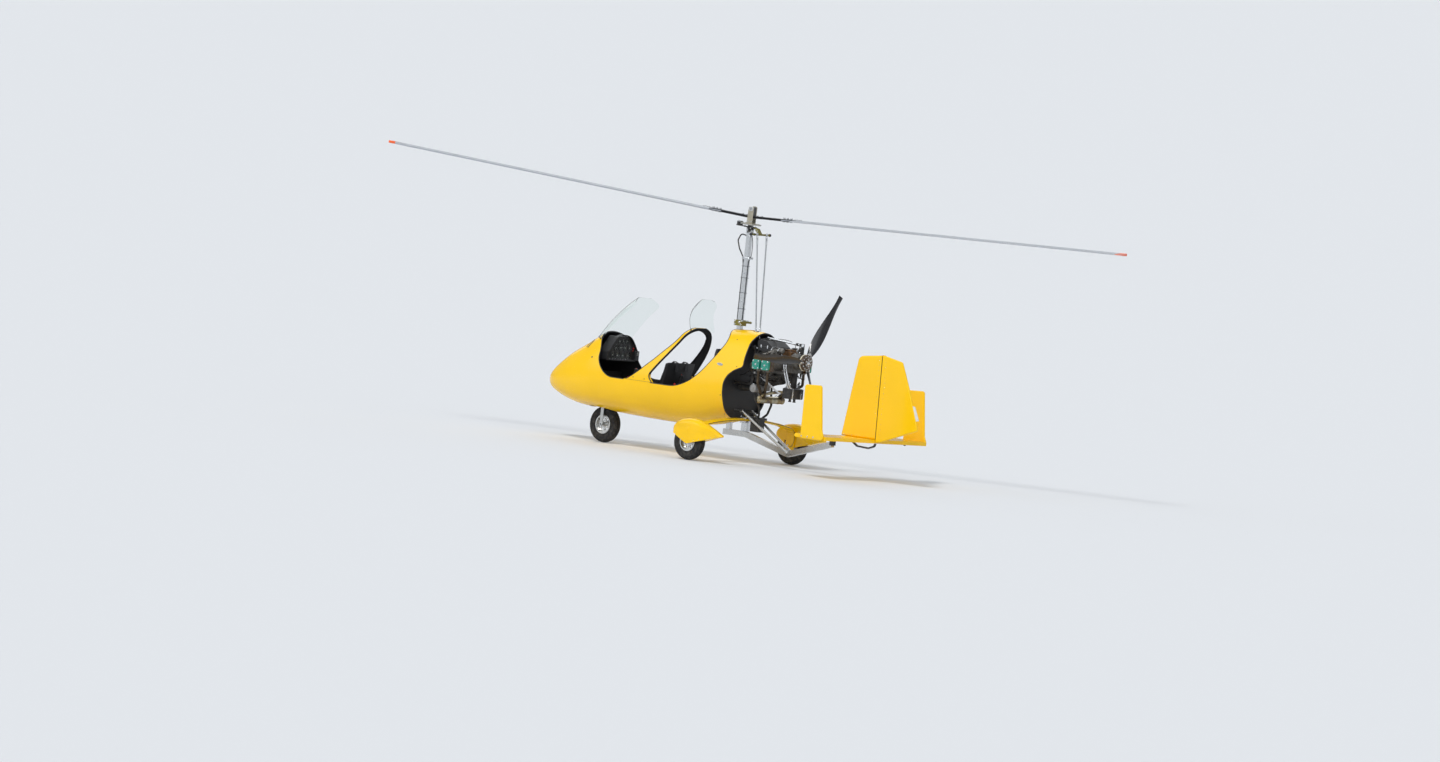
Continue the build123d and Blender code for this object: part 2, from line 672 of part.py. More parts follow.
def airbox():
    edge = ((-405, 1215), (-395, 1336), (-520, 1322), (-610, 1262), (-600, 1215))
    body = side(outline(edge, (10, 30, 40, 30, 10)), -150, 150)
    return body + block(-560, ENGINE_X[1] - 6, -60, 60, CRANK_Z + 100, 1215)


def exhaust_pipes():
    parts = []
    for s, x in cylinder_places():
        foot = -530 + (16 if x > -640 else -16)
        y = s * 280
        elbow = x * 0.4 + foot * 0.6
        run = ((x, y, CRANK_Z - 62), (x, y, 880), (elbow, s * 190, 800), (foot, s * 120, 702))
        parts.append(pipe(run, 15, 30) - silencer_drum())
    return Compound(parts)


def silencer_drum():
    return rod((-530, -190, 702), (-530, 190, 702), 38)


def silencer():
    return silencer_drum() - rod((-530, TUBE_WALL - 190, 702), (-530, 190 - TUBE_WALL, 702), 38 - TUBE_WALL)


def muffler_box():
    box = block(-885, -765, -108, 108, 745, 856)
    box = fillet(box.edges(), 12)
    feet = [rod((x, 0, 745), (x, 0, 715), 14) for x in (-795, -855)]
    strap = block(-850, -800, -20, 20, 856, CRANK_Z - 60)
    return box + feet[0] + feet[1] + strap


def rear_muffler():
    t = TUBE_WALL
    hollow = block(-885 + t, -765 - t, t - 108, 108 - t, 745 + t, 856 - t)
    return muffler_box() - fillet(hollow.edges(), 12 - t)


def oil_filter():
    return rod((-440, 70, 812), (-440, 205, 812), 42) + block(-490, -458, -20, 74, 790, CRANK_Z - 105)


def engine_mount():
    body = block(-386, -362, -150, 150, 840, 1250) - block(-386, -362, -124, 124, 866, 1224)
    for s in (-1, 1):
        for z in (853, 1237):
            body += rod((FIREWALL_X - 12, s * 137, z), (-370, s * 137, z), 11)
    body += block(-380, -368, -137, 137, 1090, 1237) - rod((-400, 0, CRANK_Z), (-360, 0, CRANK_Z), 60)
    return body


def engine_tray():
    return block(-470, -300, -50, 50, 475, 500) + block(-440, -330, -50, 50, 345, 475) - keel_bar()


# Hoses and lines on the engine: radius, bend radius, which sides, points
OIL_LINE = (
    (-378, 139, 972), (-440, 186, 978), (-519, 200, 956), (-624, 180, 883), (-745, 140, 788),
    (-800, 100, 790),
)
HEAD_HOSE = ((-500, 282, 1085), (-440, 274, 1072), (-404, 215, 1010), (-379, 140, 962))
FILTER_HOSE = ((-430, 150, 790), (-440, 152, 700), (-492, 128, 620), (-470, 92, 540), (-420, 40, 488))
PUMP_HOSE = (
    (-470, 66, 950), (-452, 90, 880), (-430, 120, 760), (-450, 118, 640), (-430, 92, 540), (-400, 40, 488),
)
HOSES = (
    (8, 60, (1,), OIL_LINE), (13, 45, (1, -1), HEAD_HOSE),
    (12, 50, (1,), FILTER_HOSE), (12, 50, (-1,), PUMP_HOSE),
)
# The rotor spin-up line on the front of the mast
CABLE_R = 7.0
CABLE = (
    (44, 0, 1500), (46, 0, 1800), (43, 0, 2080), (58, 0, 2170), (118, 0, 2250), (152, 0, 2338),
    (112, 0, 2412),
    (28, 0, 2396),
)


def engine_hoses():
    parts = []
    for r, bend, sides, points in HOSES:
        for s in sides:
            hose = pipe([(x, s * y, z) for x, y, z in points], r, bend)
            for ends in (engine_mount, cylinder_heads, muffler_box, oil_filter, engine_tray, crankcase):
                hose -= ends()
            parts.append(hose)
    return Compound(parts)


def mast_cable():
    return pipe(CABLE, CABLE_R, 40) - mast() - mast_fittings()


def top_strut():
    bar = rod((-392, 0, 1353), (-884, 0, 1320), 11)
    bracket = block(-896, -868, -26, 26, 1200, 1336)
    foot = block(-440, -384, -16, 16, 1310, 1353)
    return bar + bracket + foot - gearbox() - airbox()


def prop_hub():
    body = rod((PROP_X - PROP_HUB_T / 2, 0, PROP_Z), (PROP_X + PROP_HUB_T / 2, 0, PROP_Z), PROP_HUB_R)
    nose = rod((PROP_X - PROP_HUB_T / 2 - 12, 0, PROP_Z), (PROP_X - PROP_HUB_T / 2, 0, PROP_Z), 52)
    bore = rod((PROP_X - 10.5, 0, PROP_Z), (PROP_X + 60, 0, PROP_Z), 15 + AXLE_PLAY)
    return body + nose - bore


def prop_section(r, chord, thick, pitch):
    a = radians(pitch)
    def at(u, w):
        return (u * sin(a) + w * cos(a), u * cos(a) - w * sin(a), r)
    upper = ThreePointArc(at(-chord / 2, 0), at(0, thick / 2), at(chord / 2, 0))
    lower = ThreePointArc(at(chord / 2, 0), at(0, -thick / 2), at(-chord / 2, 0))
    return Face(Wire([upper.edge(), lower.edge()]))


def prop_blades():
    blade = loft([prop_section(*row) for row in PROP_BLADE])
    hub = Pos(-PROP_X, 0, -PROP_Z) * prop_hub()
    parts = []
    for i in range(BLADE_COUNT):
        one = Rotation(90 - PROP_FIRST + i * 360 / BLADE_COUNT, 0, 0) * blade
        parts.append(Pos(PROP_X, 0, PROP_Z) * (one - hub))
    return Compound(parts)


# The rotor head is drawn upright about the pitch axis, then leaned back by its rest tilt
HEAD = Pos(0, 0, PITCH_Z) * Rotation(0, -HEAD_TILT, 0) * Pos(0, 0, -PITCH_Z)
ROTOR = HEAD * Rotation(0, 0, ROTOR_AZ)


def gimbal_block():
    body = block(-19, 19, -17, 17, ROLL_Z - 11, PITCH_Z - 12)
    body += block(-12, 12, -18, 18, PITCH_Z - 12, PITCH_Z + 8)
    body += rod((-38, 0, ROLL_Z), (38, 0, ROLL_Z), PIN_R)
    return body + rod((0, -46, PITCH_Z), (0, 46, PITCH_Z), PIN_R)


def head_bracket():
    top = PITCH_Z + 20
    body = block(-60, 62, -38, 38, top, top + 10)
    for s in (-1, 1):
        lo, hi = sorted((s * 26, s * 38))
        body += block(-18, 18, lo, hi, PITCH_Z - 12, top)
    body -= rod((0, -60, PITCH_Z), (0, 60, PITCH_Z), PIN_R + AXLE_PLAY)
    body += plan(Circle(30), top + 10, top + 24)
    body += plan(Circle(12), top + 24, ROTOR_Z - 44) + plan(Circle(20), ROTOR_Z - 53, ROTOR_Z - 38)
    return HEAD * body


def pitch_lever():
    edge = (
        (-60, PITCH_Z + 20), (-60, PITCH_Z + 30), (-120, PITCH_Z + 20),
        (LEVER_X - 12, LEVER_Z + 8), (LEVER_X - 12, LEVER_Z - 8), (LEVER_X + 12, LEVER_Z - 8),
    )
    arm = side(outline(edge), -16, 16)
    bar = rod((LEVER_X, -150, LEVER_Z), (LEVER_X, 150, LEVER_Z), 10)
    return HEAD * (arm + bar)


def prerotator():
    top = PITCH_Z + 20
    arm = block(62, 186, -16, 16, top, top + 10)
    drive = rod((150, 0, top + 10), (150, 0, top + 52), 33)
    return HEAD * (arm + drive)


def rotor_tower():
    z = PITCH_Z + 49
    ring = plan(Circle(RING_R), z, z + 12) + plan(Circle(36), z + 12, z + 24)
    base = block(-31, 31, -CHEEK_IN - CHEEK_T, CHEEK_IN + CHEEK_T, z + 12, z + 24)
    body = ring + base
    for s in (-1, 1):
        lo, hi = sorted((s * CHEEK_IN, s * (CHEEK_IN + CHEEK_T)))
        edge = ((-31, z + 12), (31, z + 12), (28, TEETER_Z + 22), (-28, TEETER_Z + 22))
        cheek = outline(edge, (0.5, 0.5, 14, 14))
        body += side(cheek, lo, hi)
    body -= plan(Circle(12 + AXLE_PLAY), z - 10, z + 30)
    y = CHEEK_IN + CHEEK_T
    body += rod((0, -y - 8, TEETER_Z), (0, y + 8, TEETER_Z), TEETER_R)
    for s in (-1, 1):
        body += rod((0, s * y, TEETER_Z), (0, s * (y + 8), TEETER_Z), 16)
    return ROTOR * body


def cone_z(r):
    return ROTOR_Z + r * tan(radians(CONE))


def hub_bar():
    half = BAR_T / 2
    route = ((-GRIP_R, cone_z(GRIP_R)), (0, ROTOR_Z), (GRIP_R, cone_z(GRIP_R)))
    body = side(outline(band(route, BAR_T)), -BAR_HALF, BAR_HALF)
    for s in (-1, 1):
        for low, high in ((-half, -TANG_T / 2), (TANG_T / 2, half)):
            ends = ((GRIP_R - 12, low), (BAR_R, low), (BAR_R, high), (GRIP_R - 12, high))
            body += side(outline([(s * r, cone_z(r) + h) for r, h in ends]), -BAR_HALF, BAR_HALF)
    body += block(-25, 25, -BAR_HALF, BAR_HALF, ROTOR_Z, TEETER_Z + 16)
    body -= rod((0, -60, TEETER_Z), (0, 60, TEETER_Z), TEETER_R + AXLE_PLAY)
    return ROTOR * body


def blade_section():
    c, t = BLADE_CHORD, BLADE_T
    nose, high, low, edge = 0.11 * c, 0.56 * t, -0.40 * t, 1.0
    curve = [
        ThreePointArc((nose, low), (0, 0), (nose, high * 0.92)),
        ThreePointArc((nose, high * 0.92), (0.42 * c, high), (c, edge)),
        Line((c, edge), (c, -edge)),
        ThreePointArc((c, -edge), (0.45 * c, low * 0.8), (nose, low)),
    ]
    return Face(Wire([e.edge() for e in curve]))


def blade_span(r0, r1):
    """One stretch of the forward blade, its leading edge towards +Y, its quarter chord on the span line."""
    across = Plane(origin=(r0, 0, 0), x_dir=(0, -1, 0), z_dir=(1, 0, 0))
    face = across * (Pos(-BLADE_CHORD * 0.28, 0) * blade_section())
    return extrude(face, amount=r1 - r0, dir=(1, 0, 0))


def on_rotor(body):
    """Both copies of a piece drawn along +X, coned up and set on the rotor."""
    out = []
    for half_turn in (0, 180):
        out.append(ROTOR * Pos(0, 0, ROTOR_Z) * Rotation(0, 0, half_turn) * Rotation(0, -CONE, 0) * body)
    return Compound(out)


def rotor_blades():
    tang = block(GRIP_R + 2, BAR_R + 40, -BAR_HALF + 4, BAR_HALF - 4, -TANG_T / 2 + 0.2, TANG_T / 2 - 0.2)
    return on_rotor(blade_span(BAR_R + 2, ROTOR_R - TIP_BAND) + tang)


def blade_tips():
    return on_rotor(blade_span(ROTOR_R - TIP_BAND, ROTOR_R))


def control_rod(s):
    foot = (ROD_FOOT[0], s * ROD_FOOT[1], ROD_FOOT[2])
    top = (ROD_TOP[0], s * ROD_TOP[1], ROD_TOP[2])
    eye = rod((top[0] - 5, top[1], top[2]), (top[0] + 5, top[1], top[2]), 14)
    return rod(foot, top, ROD_R) + eye


MAIN_Y = TRACK / 2
NOSE_CENTRE = (NOSE_WHEEL_X, 0, WHEEL_R)
LEFT_CENTRE = (MAIN_WHEEL_X, MAIN_Y, WHEEL_R)
RIGHT_CENTRE = (MAIN_WHEEL_X, -MAIN_Y, WHEEL_R)
BORE = AXLE_R + AXLE_PLAY

NODES = {
    "fuselage_shell": fuselage_shell(),
    "cockpit_bow": cockpit_bow(),
    "front_windscreen": screen(FRONT_SCREEN, SCREEN_T, SCREEN_CUT[0]) - outer,
    "rear_windscreen": screen(REAR_SCREEN, SCREEN_T, SCREEN_CUT[1]) - cockpit_bow(),
    "instrument_panel": instrument_panel(),
    "front_seat": seat(FRONT_SEAT, SEAT_HALF),
    "rear_seat": seat(REAR_SEAT, SEAT_HALF),
    "control_sticks": control_sticks(),
    "rudder_pedals": rudder_pedals(),
    "nose_bulkhead": nose_bulkhead(),
    "firewall": firewall(),
    "mast": mast(),
    "mast_fittings": mast_fittings(),
    "keel_tube": keel_tube(),
    "brace_tubes": brace_tubes(),
    "gear_bow": gear_bow(),
    "gear_saddle": gear_saddle(),
    "main_axles": main_axles(),
    "wheel_spats": wheel_spats(),
    "engine_tray": engine_tray(),
    "engine_mount": engine_mount(),
    "crankcase": crankcase(),
    "cylinders": cylinders(),
    "cylinder_heads": cylinder_heads(),
    "valve_covers": valve_covers(),
    "gearbox": gearbox(),
    "carburettors": carburettors(),
    "airbox": airbox(),
    "exhaust_pipes": exhaust_pipes(),
    "silencer": silencer(),
    "rear_muffler": rear_muffler(),
    "oil_filter": oil_filter(),
    "top_strut": top_strut(),
    "engine_hoses": engine_hoses(),
    "mast_cable": mast_cable(),
    "stabilizer": stabilizer(),
    "centre_fin": centre_fin(),
    "tip_fins": tip_fins(),
    "tail_mount": tail_mount(),
    "tail_skid": tail_skid(),
    "nose_fork": nose_fork(),
    "nose_tyre": tyre(NOSE_CENTRE),
    "nose_rim": rim(NOSE_CENTRE, BORE),
    "left_tyre": tyre(LEFT_CENTRE),
    "left_rim": rim(LEFT_CENTRE, BORE),
    "right_tyre": tyre(RIGHT_CENTRE),
    "right_rim": rim(RIGHT_CENTRE, BORE),
    "prop_hub": prop_hub(),
    "prop_blades": prop_blades(),
    "rudder": rudder(),
    "gimbal_block": gimbal_block(),
    "head_bracket": head_bracket(),
    "pitch_lever": pitch_lever(),
    "prerotator": prerotator(),
    "rotor_tower": rotor_tower(),
    "hub_bar": hub_bar(),
    "rotor_blades": rotor_blades(),
    "blade_tips": blade_tips(),
    "control_rod_left": control_rod(1),
    "control_rod_right": control_rod(-1),
}

os.makedirs("parts", exist_ok=True)
for name, body in NODES.items():
    export_step(body, f"parts/{name}.step")
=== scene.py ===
from math import cos, hypot, pi, radians, sin, tan

import bmesh
import bpy
from mathutils import Matrix, Vector, noise
from mathutils.bvhtree import BVHTree


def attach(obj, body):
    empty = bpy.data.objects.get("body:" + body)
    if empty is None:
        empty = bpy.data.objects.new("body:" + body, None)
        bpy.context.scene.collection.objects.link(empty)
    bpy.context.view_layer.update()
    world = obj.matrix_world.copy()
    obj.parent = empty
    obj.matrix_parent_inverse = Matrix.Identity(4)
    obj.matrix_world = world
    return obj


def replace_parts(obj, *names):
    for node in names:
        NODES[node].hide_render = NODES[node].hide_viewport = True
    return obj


# +X points forward, +Y to the left, +Z up, in metres; the origin is on the floor under the rotor hub.
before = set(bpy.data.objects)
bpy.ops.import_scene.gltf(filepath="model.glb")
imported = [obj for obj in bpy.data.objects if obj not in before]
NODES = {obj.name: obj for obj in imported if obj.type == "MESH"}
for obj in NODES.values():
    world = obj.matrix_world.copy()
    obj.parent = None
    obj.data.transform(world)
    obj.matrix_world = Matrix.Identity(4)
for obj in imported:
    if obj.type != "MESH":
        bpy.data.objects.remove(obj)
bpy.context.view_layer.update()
scene = bpy.context.scene
scene.view_settings.view_transform = "Standard"

HULL_AXIS = 0.72
SHAFT = 1.144
AXLE = 0.195
NOSE_X, MAIN_X, HALF_TRACK = 1.723, -0.193, 0.85
PANEL = 1.5985
TEETER = 2.690
AFT, FORE, UP = (-1, 0, 0), (1, 0, 0), (0, 0, 1)


def basis(u, v, w, at):
    """The matrix that lays the three axes along u, v and w, at a place."""
    matrix = Matrix((u, v, w)).transposed().to_4x4()
    matrix.translation = at
    return matrix


# Camera and studio

PHOTO_WIDTH, PHOTO_HEIGHT = 1440, 762
PIXELS_PER_METRE = 94.2
SENSOR = 36.0
DISTANCE = 150.0
HUB = Vector((0.0, 0.0, 2.60))
HUB_PIXEL = (751.5, 217.0)
azimuth, elevation, roll = radians(220.0), radians(2.4), radians(6.1)
back = Vector((sin(azimuth) * cos(elevation), -cos(azimuth) * cos(elevation), sin(elevation)))
level = Vector((cos(azimuth), sin(azimuth), 0.0))
upright = back.cross(level)
right = level * cos(roll) + upright * sin(roll)
up = upright * cos(roll) - level * sin(roll)
aim = HUB - right * (HUB_PIXEL[0] - PHOTO_WIDTH / 2) / PIXELS_PER_METRE
aim -= up * (PHOTO_HEIGHT / 2 - HUB_PIXEL[1]) / PIXELS_PER_METRE
lens = bpy.data.cameras.new("camera")
lens.sensor_width = SENSOR
lens.lens = SENSOR * DISTANCE * PIXELS_PER_METRE / PHOTO_WIDTH
lens.clip_end = 1500.0
camera = bpy.data.objects.new("camera", lens)
camera.matrix_world = basis(right, up, back, aim + back * DISTANCE)
scene.collection.objects.link(camera)
scene.camera = camera


def toward(az, el):
    return Vector((sin(az) * cos(el), -cos(az) * cos(el), sin(el)))


def sun(name, az, el, energy, angle, colour):
    data = bpy.data.lights.new(name, "SUN")
    data.energy = energy
    data.color = colour
    data.angle = radians(angle)
    light = bpy.data.objects.new(name, data)
    light.rotation_euler = toward(radians(az), radians(el)).to_track_quat("Z", "Y").to_euler()
    light.location = toward(radians(az), radians(el)) * 10
    scene.collection.objects.link(light)


sun("key", 196, 48, 1.45, 12, (1.0, 0.985, 0.96))
sun("fill", 60, 35, 0.35, 40, (0.94, 0.97, 1.0))

def shader_node(tree, kind, sockets=None, **settings):
    """A node whose sockets are linked to outputs or set to values."""
    made = tree.nodes.new("ShaderNode" + kind)
    for key, value in settings.items():
        setattr(made, key, value)
    for key, value in (sockets or {}).items():
        if hasattr(value, "is_output"):
            tree.links.new(value, made.inputs[key])
        else:
            made.inputs[key].default_value = value
    return made


SKY = (0.74, 0.755, 0.78, 1)
AMBIENT, PANEL_LIGHT = 0.40, 1.3
world = bpy.data.worlds.new("studio")
scene.world = world
world.use_nodes = True
tree = world.node_tree
rays = shader_node(tree, "LightPath").outputs
either = shader_node(tree, "Math", {0: rays["Is Camera Ray"], 1: rays["Is Transmission Ray"]},
                     operation="MAXIMUM")
seen = shader_node(tree, "Background", {"Color": SKY})
lit = tree.nodes["Background"]
lit.inputs["Color"].default_value = (0.93, 0.965, 1.0, 1)
# Three soft panels of the studio, seen in gloss and lighting every side alike
way = shader_node(tree, "TexCoord").outputs["Generated"]
total = AMBIENT
for az, el, wide in ((235, 34, 0.9), (140, 22, 0.93), (20, 40, 0.92)):
    dot = shader_node(tree, "VectorMath", {0: way, 1: toward(radians(az), radians(el))},
                      operation="DOT_PRODUCT")
    limits = {"From Min": wide, "From Max": wide + 0.03, "To Max": PANEL_LIGHT}
    edge = shader_node(tree, "MapRange", {"Value": dot.outputs["Value"], **limits})
    total = shader_node(tree, "Math", {0: total, 1: edge.outputs[0]}).outputs[0]
tree.links.new(total, lit.inputs["Strength"])
choice = shader_node(tree, "MixShader", {0: either.outputs[0], 1: lit.outputs[0], 2: seen.outputs[0]})
tree.links.new(choice.outputs[0], tree.nodes["World Output"].inputs["Surface"])


# Materials


class Paint:
    """A node material whose colour, roughness and bump come from small pieces of a node graph."""

    def __init__(self, name, slot=None):
        self.m = bpy.data.materials.new(name)
        self.m.use_nodes = True
        self.m["slot"] = slot or ""
        self.tree = self.m.node_tree
        self.shader = self.tree.nodes["Principled BSDF"]
        self.coords = self.tree.nodes.new("ShaderNodeTexCoord")

    def node(self, kind, sockets=None, **settings):
        return shader_node(self.tree, kind, sockets, **settings)

    def set(self, **values):
        for key, value in values.items():
            socket = self.shader.inputs[key.replace("_", " ")]
            if hasattr(value, "is_output"):
                self.tree.links.new(value, socket)
            else:
                socket.default_value = value

    def at(self, stretch=(1, 1, 1)):
        return self.node("Mapping", {"Vector": self.coords.outputs["Object"], "Scale": stretch}).outputs[0]

    def noise(self, scale, detail=3.0, stretch=(1, 1, 1), rough=0.55):
        sockets = {"Vector": self.at(stretch), "Scale": scale, "Detail": detail, "Roughness": rough}
        return self.node("TexNoise", sockets).outputs["Fac"]

    def remap(self, value, low, high, a, b):
        sockets = {"Value": value, "From Min": low, "From Max": high, "To Min": a, "To Max": b}
        return self.node("MapRange", sockets).outputs[0]

    def math(self, operation, a, b=0.0):
        return self.node("Math", {0: a, 1: b}, operation=operation).outputs[0]

    def dot(self, a, b):
        return self.node("VectorMath", {0: a, 1: b}, operation="DOT_PRODUCT").outputs["Value"]

    def mix(self, factor, a, b):
        return self.node("Mix", {0: factor, 6: a, 7: b}, data_type="RGBA").outputs[2]

    def shade(self, colour, value):
        return self.node("HueSaturation", {"Color": colour, "Value": value}).outputs[0]

    def bump(self, height, distance):
        return self.node("Bump", {"Height": height, "Distance": distance, "Strength": 1.0}).outputs[0]

    def edges(self, radius=0.0025, noise_scale=60.0):
        """About 1 on convex and concave edges, broken up by noise, and 0 elsewhere."""
        soft = self.node("Bevel", {"Radius": radius}, samples=4).outputs[0]
        flat = self.node("NewGeometry").outputs["Normal"]
        near = self.remap(self.dot(soft, flat), 0.995, 0.9, 0.0, 1.0)
        return self.math("MULTIPLY", near, self.remap(self.noise(noise_scale, 4.0), 0.45, 0.6, 0.0, 1.0))


def rgb(r, g, b):
    """A colour given as it looks on a screen, 0 to 255, as the linear values that a shader takes."""
    shares = [c / 255 for c in (r, g, b)]
    return tuple(c / 12.92 if c < 0.04045 else ((c + 0.055) / 1.055) ** 2.4 for c in shares) + (1.0,)


def plain(name, slot, colour, rough, metal=0.0, blotch=0.08, blotch_scale=9.0, rough_vary=0.07, grain=0.0,
          grain_scale=420.0, stretch=(1, 1, 1), coat=0.0, wear=None, dust=0.0):
    p = Paint(name, slot)
    soft = p.noise(blotch_scale, 4.0)
    tone = p.shade(colour, p.remap(soft, 0.3, 0.7, 1 - blotch, 1 + blotch))
    fine = p.noise(grain_scale, 2.0, stretch)
    if wear:
        tone = p.mix(p.edges(), tone, wear)
    if dust:
        cover = p.math("MULTIPLY", p.remap(p.noise(26.0, 6.0), 0.45, 0.7, 0.0, 1.0), dust)
        tone = p.mix(cover, tone, rgb(150, 138, 118))
    gloss = p.remap(fine, 0.25, 0.75, max(rough - rough_vary, 0.02), rough + rough_vary)
    p.set(Base_Color=tone, Metallic=metal, Roughness=gloss)
    if grain:
        p.set(Normal=p.bump(fine, grain))
    if coat:
        p.set(Coat_Weight=coat, Coat_Roughness=0.06)
    return p.m


def gelcoat(name, lined):
    """Yellow gelcoat; where it is lined, the inside is black flock, told apart by which way it faces."""
    p = Paint(name, "yellow_gelcoat")
    here = p.coords.outputs["Object"]
    spot = p.node("SeparateXYZ", {0: here})
    middle = p.node("CombineXYZ", {0: spot.outputs[0], 1: 0.0, 2: HULL_AXIS}).outputs[0]
    away = p.node("VectorMath", {0: here, 1: middle}, operation="SUBTRACT").outputs[0]
    inside = p.remap(p.dot(away, p.coords.outputs["Normal"]), -0.012, -0.02, 0.0, 1.0 if lined else 0.0)
    # Painted shade: the yellow is darkened towards orange-brown in noisy patches, partly below z 0.62 and
    # fully below z 0.34
    height = p.remap(spot.outputs[2], 0.34, 0.62, 1.0, 0.0)
    painted_low_shade = p.math("MULTIPLY", height, p.remap(p.noise(7.0, 6.0, (0.35, 1, 1)), 0.4, 0.75, 0.0, 0.22))
    yellow = p.shade(rgb(252, 200, 0), p.remap(p.noise(1.7, 3.0), 0.3, 0.7, 0.97, 1.03))
    yellow = p.mix(painted_low_shade, yellow, rgb(150, 104, 30))
    lining = p.shade(rgb(30, 30, 32), p.remap(p.noise(300.0, 3.0), 0.3, 0.7, 0.7, 1.4))
    p.set(Base_Color=p.mix(inside, yellow, lining))
    polish = p.remap(p.noise(55.0, 5.0), 0.3, 0.75, 0.17, 0.3)
    p.set(Roughness=p.node("Mix", {0: inside, 2: polish, 3: 0.85}, data_type="FLOAT").outputs[0])
    ripple = p.math("ADD", p.noise(260.0, 2.0), p.math("MULTIPLY", p.noise(5.0, 1.0), 14.0))
    p.set(Normal=p.bump(ripple, 0.00012), Coat_Weight=p.remap(inside, 0, 1, 0.22, 0.0), Coat_Roughness=0.05)
    p.set(Specular_IOR_Level=0.3)
    return p.m


def clear(name):
    p = Paint(name, "clear_screen")
    scuff = p.noise(38.0, 8.0, (1, 2.4, 1), 0.7)
    p.set(Base_Color=(0.93, 0.965, 0.95, 1), Roughness=p.remap(scuff, 0.5, 0.8, 0.015, 0.09))
    p.set(Transmission_Weight=1.0, IOR=1.08, Specular_IOR_Level=1.0)
    return p.m


def brushed(name, slot, colour, rough, direction=(1, 1, 14), scale=240.0, metal=1.0, dull=0.1):
    p = Paint(name, slot)
    lines = p.noise(scale, 3.0, direction)
    patches = p.noise(11.0, 5.0)
    tone = p.shade(colour, p.remap(lines, 0.3, 0.7, 0.92, 1.08))
    tone = p.mix(p.remap(patches, 0.5, 0.8, 0.0, 0.35), tone, tuple(c * 0.72 for c in colour[:3]) + (1,))
    p.set(Base_Color=tone, Metallic=metal, Normal=p.bump(lines, 0.00004))
    streaks = p.remap(lines, 0.3, 0.7, rough - 0.06, rough + 0.06)
    p.set(Roughness=p.math("ADD", streaks, p.remap(patches, 0.45, 0.75, 0.0, dull)))
    return p.m


def rubber(name):
    p = Paint(name, "tyre_rubber")
    dust = p.remap(p.noise(34.0, 6.0), 0.46, 0.72, 0.0, 0.5)
    tone = p.mix(dust, rgb(32, 32, 33), rgb(92, 88, 82))
    p.set(Base_Color=tone, Roughness=p.remap(p.noise(120.0, 4.0), 0.3, 0.7, 0.68, 0.88))
    p.set(Normal=p.bump(p.noise(900.0, 2.0), 0.0002), Specular_IOR_Level=0.35)
    return p.m


def woven(name, slot, colour, threads=900.0, depth=0.0005):
    p = Paint(name, slot)
    here = p.coords.outputs["Object"]
    waves = []
    for turn in ((1, 0.35, 0), (0, 1, 0.6)):
        waves.append(p.math("SINE", p.math("MULTIPLY", p.dot(here, turn), threads * 2)))
    weave = p.math("MULTIPLY", waves[0], waves[1])
    fuzz = p.noise(1400.0, 2.0)
    fade = p.remap(p.noise(12.0, 5.0), 0.3, 0.7, -0.12, 0.12)
    tone = p.shade(colour, p.math("ADD", p.remap(weave, -1, 1, 0.78, 1.12), fade))
    p.set(Base_Color=tone, Roughness=p.remap(fuzz, 0.3, 0.7, 0.78, 0.95), Sheen_Weight=0.35,
          Sheen_Roughness=0.4)
    p.set(Normal=p.bump(p.math("ADD", weave, fuzz), depth))
    return p.m


def heated(name):
    """Stainless exhaust with straw and blue heat tints and a little soot."""
    p = Paint(name, "polished_steel")
    heat = p.noise(9.0, 4.0)
    ramp = p.node("ValToRGB", {0: heat})
    colours = ((0.3, (150, 144, 128)), (0.45, (176, 168, 144)), (0.55, (152, 134, 96)),
               (0.64, (116, 102, 88)), (0.75, (92, 92, 100)))
    band = ramp.color_ramp.elements
    band[0].position, band[0].color = colours[0][0], rgb(*colours[0][1])
    band[1].position, band[1].color = colours[-1][0], rgb(*colours[-1][1])
    for position, colour in colours[1:-1]:
        band.new(position).color = rgb(*colour)
    soot = p.remap(p.noise(40.0, 6.0), 0.52, 0.75, 0.0, 0.6)
    p.set(Base_Color=p.mix(soot, ramp.outputs[0], rgb(62, 54, 46)), Metallic=1.0)
    p.set(Roughness=p.remap(p.noise(80.0, 5.0), 0.3, 0.7, 0.2, 0.42),
          Normal=p.bump(p.noise(500.0), 0.00005))
    return p.m


def cast(name, slot, colour, oil=0.5, metal=0.85, rough=0.48):
    """Cast alloy with a sandy skin, darker oil film in patches and bright worn edges."""
    p = Paint(name, slot)
    film = p.remap(p.noise(17.0, 6.0), 0.42, 0.68, 0.0, oil)
    tone = p.mix(film, p.shade(colour, p.remap(p.noise(160.0, 3.0), 0.3, 0.7, 0.86, 1.14)), rgb(46, 38, 30))
    tone = p.mix(p.edges(0.002, 90.0), tone, rgb(178, 174, 168))
    p.set(Base_Color=tone, Metallic=metal, Roughness=p.remap(film, 0, 1, rough + 0.08, rough - 0.14))
    p.set(Normal=p.bump(p.noise(650.0, 3.0), 0.00022))
    return p.m


SHELL = gelcoat("shell_gelcoat", True)
YELLOW = gelcoat("yellow_gelcoat", False)
CLEAR = clear("clear_screen")
BLACK = plain("black_trim", "black_trim", rgb(34, 34, 36), 0.55, grain=0.00025, grain_scale=700.0)
SATIN = plain("painted_black", "painted_black", rgb(31, 31, 33), 0.42, grain=0.00008,
              wear=rgb(120, 118, 114), dust=0.12)
STEEL = brushed("polished_steel", "polished_steel", rgb(206, 208, 210), 0.2)
TUBE = brushed("tube_steel", "polished_steel", rgb(190, 190, 188), 0.26, (14, 1, 1))
ALLOY = cast("engine_alloy", "engine_alloy", rgb(128, 126, 122), 0.6)
TOWER = cast("tower_alloy", "engine_alloy", rgb(178, 172, 154), 0.22, 0.55, 0.4)
BRONZE = cast("engine_bronze", "engine_bronze", rgb(116, 84, 54), 0.55, 0.6, 0.42)
GREEN = plain("green_cover", "green_cover", rgb(0, 140, 122), 0.3, 0.0, coat=0.5, grain=0.00006,
              wear=rgb(160, 175, 170))
